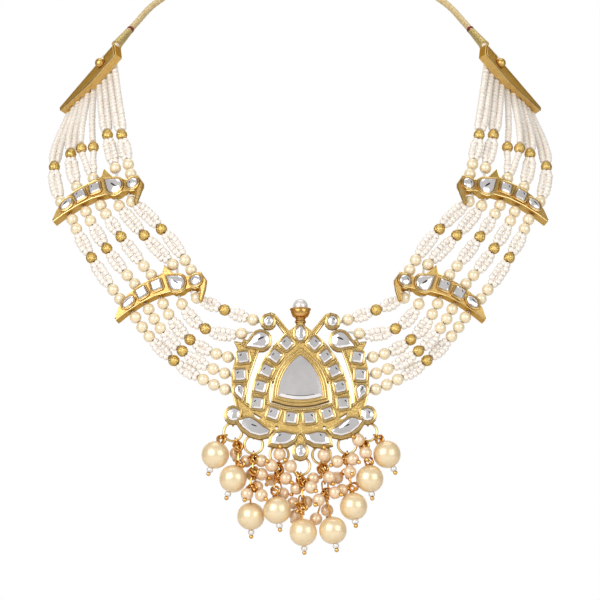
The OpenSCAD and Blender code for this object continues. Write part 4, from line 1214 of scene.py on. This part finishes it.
def link_chain(shape, start, end, wire):
    """Oval links from one knot to the next, each turned a quarter from the last."""
    way = end - start
    room = np.linalg.norm(way)
    count = max(1, round(room / LINK_L))
    for i in range(count):
        middle = start + way * (i + 0.5) / count
        side = np.cross(way, vec(0.1, 0.2, 1)) if i % 2 else np.cross(np.cross(way, vec(0.1, 0.2, 1)), way)
        x, z = unit(way), unit(side)
        points, faces = hoop(LINK_R, wire, 16, 6, max(0.1, room / count - 2 * LINK_R + 2 * wire))
        add_on(shape, PENDANT, 1, (middle + points @ np.array([x, np.cross(z, x), z]), faces))


def make_drops():
    pins, links, big, small, rings = Shape(), Shape(), Shape(), Shape(), Shape()
    big_pearl = turned(pearl_profile(DROP_D, WIRE_BORE_D, 30), 48)
    small_pearl = turned(pearl_profile(SMALL_D, WIRE_BORE_D, 18), 28)
    white_seed = turned([(0.34, -0.8), (0.74, -0.86), (1.08, -0.56), (1.22, 0), (1.08, 0.56), (0.74, 0.86),
                         (0.34, 0.8)], 16)
    for place in ring_places:
        ring = hoop(RING_R, RING_WIRE, 48, 12)
        add_on_pendant(rings, ring, vec(*place, RING_PLANE), vec(0, 0, 1))
    for b, bunch in enumerate(BUNCH):
        places = knots(b)
        loop_side = np.cross(ring_way(b), vec(0, 0, 1))
        add_on_pendant(pins, hoop(LOOP_R, DROP_WIRE, 20, 8), hook(b), loop_side)
        for start, end in zip(places, places[1:]):
            link_chain(links, start, end, DROP_WIRE)
        for n, knot in enumerate(places):
            for lean in (vec(0.3, 0.4, 1), vec(1, -0.5 + n, 0.4), vec(-0.7, 0.2, 1)):
                loose = hoop(EXTRA_HOOP_R, PIN_WIRE, 20, 6)
                add_on_pendant(links, loose, knot + vec(0.3 * n, -0.8, 0.7), lean)
        pearl = in_cluster(bunch[3])
        tip = head_pin(pins, places[-1], pearl, DROP_D / 2 + CLEAR + SEED_SPACE + BALL_D / 2, b)
        way = unit(pearl - places[-1])
        add_on_pendant(big, big_pearl, pearl, way)
        add_on_pendant(big, white_seed, pearl + way * (DROP_D / 2 + 0.82), way, 0, 1)
    for n, (b, k, x, out, up) in enumerate(CLUSTER):
        knot, pearl = knots(b)[k + 1], in_cluster((x, out, up))
        head_pin(pins, knot, pearl, SMALL_D / 2 + CLEAR + BALL_D / 2, n * 1.7)
        add_on_pendant(small, small_pearl, pearl, pearl - knot)
    piece("drop_pins", pins, [WIRE_GOLD], ["drop_wires"])
    piece("drop_links", links, [WIRE_GOLD])
    piece("drop_rings", rings, [RIM_GOLD], ["jump_rings"])
    piece("big_drop_pearls", big, [BIG_PEARL, WHITE_PEARL], ["drop_pearls"])
    piece("small_cluster_pearls", small, [SMALL_PEARL], ["cluster_pearls"])


make_drops()


def make_cup():
    """The cup's rounded bowl, its rolled lip and the rings on its stem."""
    shape = Shape()
    foot, way = vec(0, PLATE_H - CUP_SINK, FRAME_T / 2), vec(0, 1, 0)
    lip, stem = CUP_W / 2, CUP_W * 0.22
    bowl = [(stem * 0.6, 2.7), (stem * 1.2, 2.75), (stem * 1.7, 3.2), (lip * 0.84, 3.9), (lip * 0.92, 4.7),
            (lip * 0.94, 5.5), (lip * 0.7, 5.6), (stem * 0.6, 4.4)]
    add_on_pendant(shape, turned(bowl, 40), foot, way)
    for r, wire, height in ((lip * 0.96, 0.55, 5.75), (stem * 1.02, 0.5, 2.6), (stem * 1.1, 0.6, 1.2),
                            (stem * 1.02, 0.4, 1.9)):
        add_on_pendant(shape, hoop(r, wire, 36, 8), foot + way * height, way)
    piece("finial_cup_mouldings", shape, [CUP_GOLD])


make_cup()


def make_finial():
    shape = Shape()
    height = PLATE_H - CUP_SINK + CUP_W * 0.82 + FINIAL_D * 0.16
    add_on_pendant(shape, ball(FINIAL_D, 36, 24), vec(0, height, FRAME_T / 2), vec(0, 1, 0))
    piece("finial_top_pearl", shape, [WHITE_PEARL], ["finial_pearl"])


make_finial()
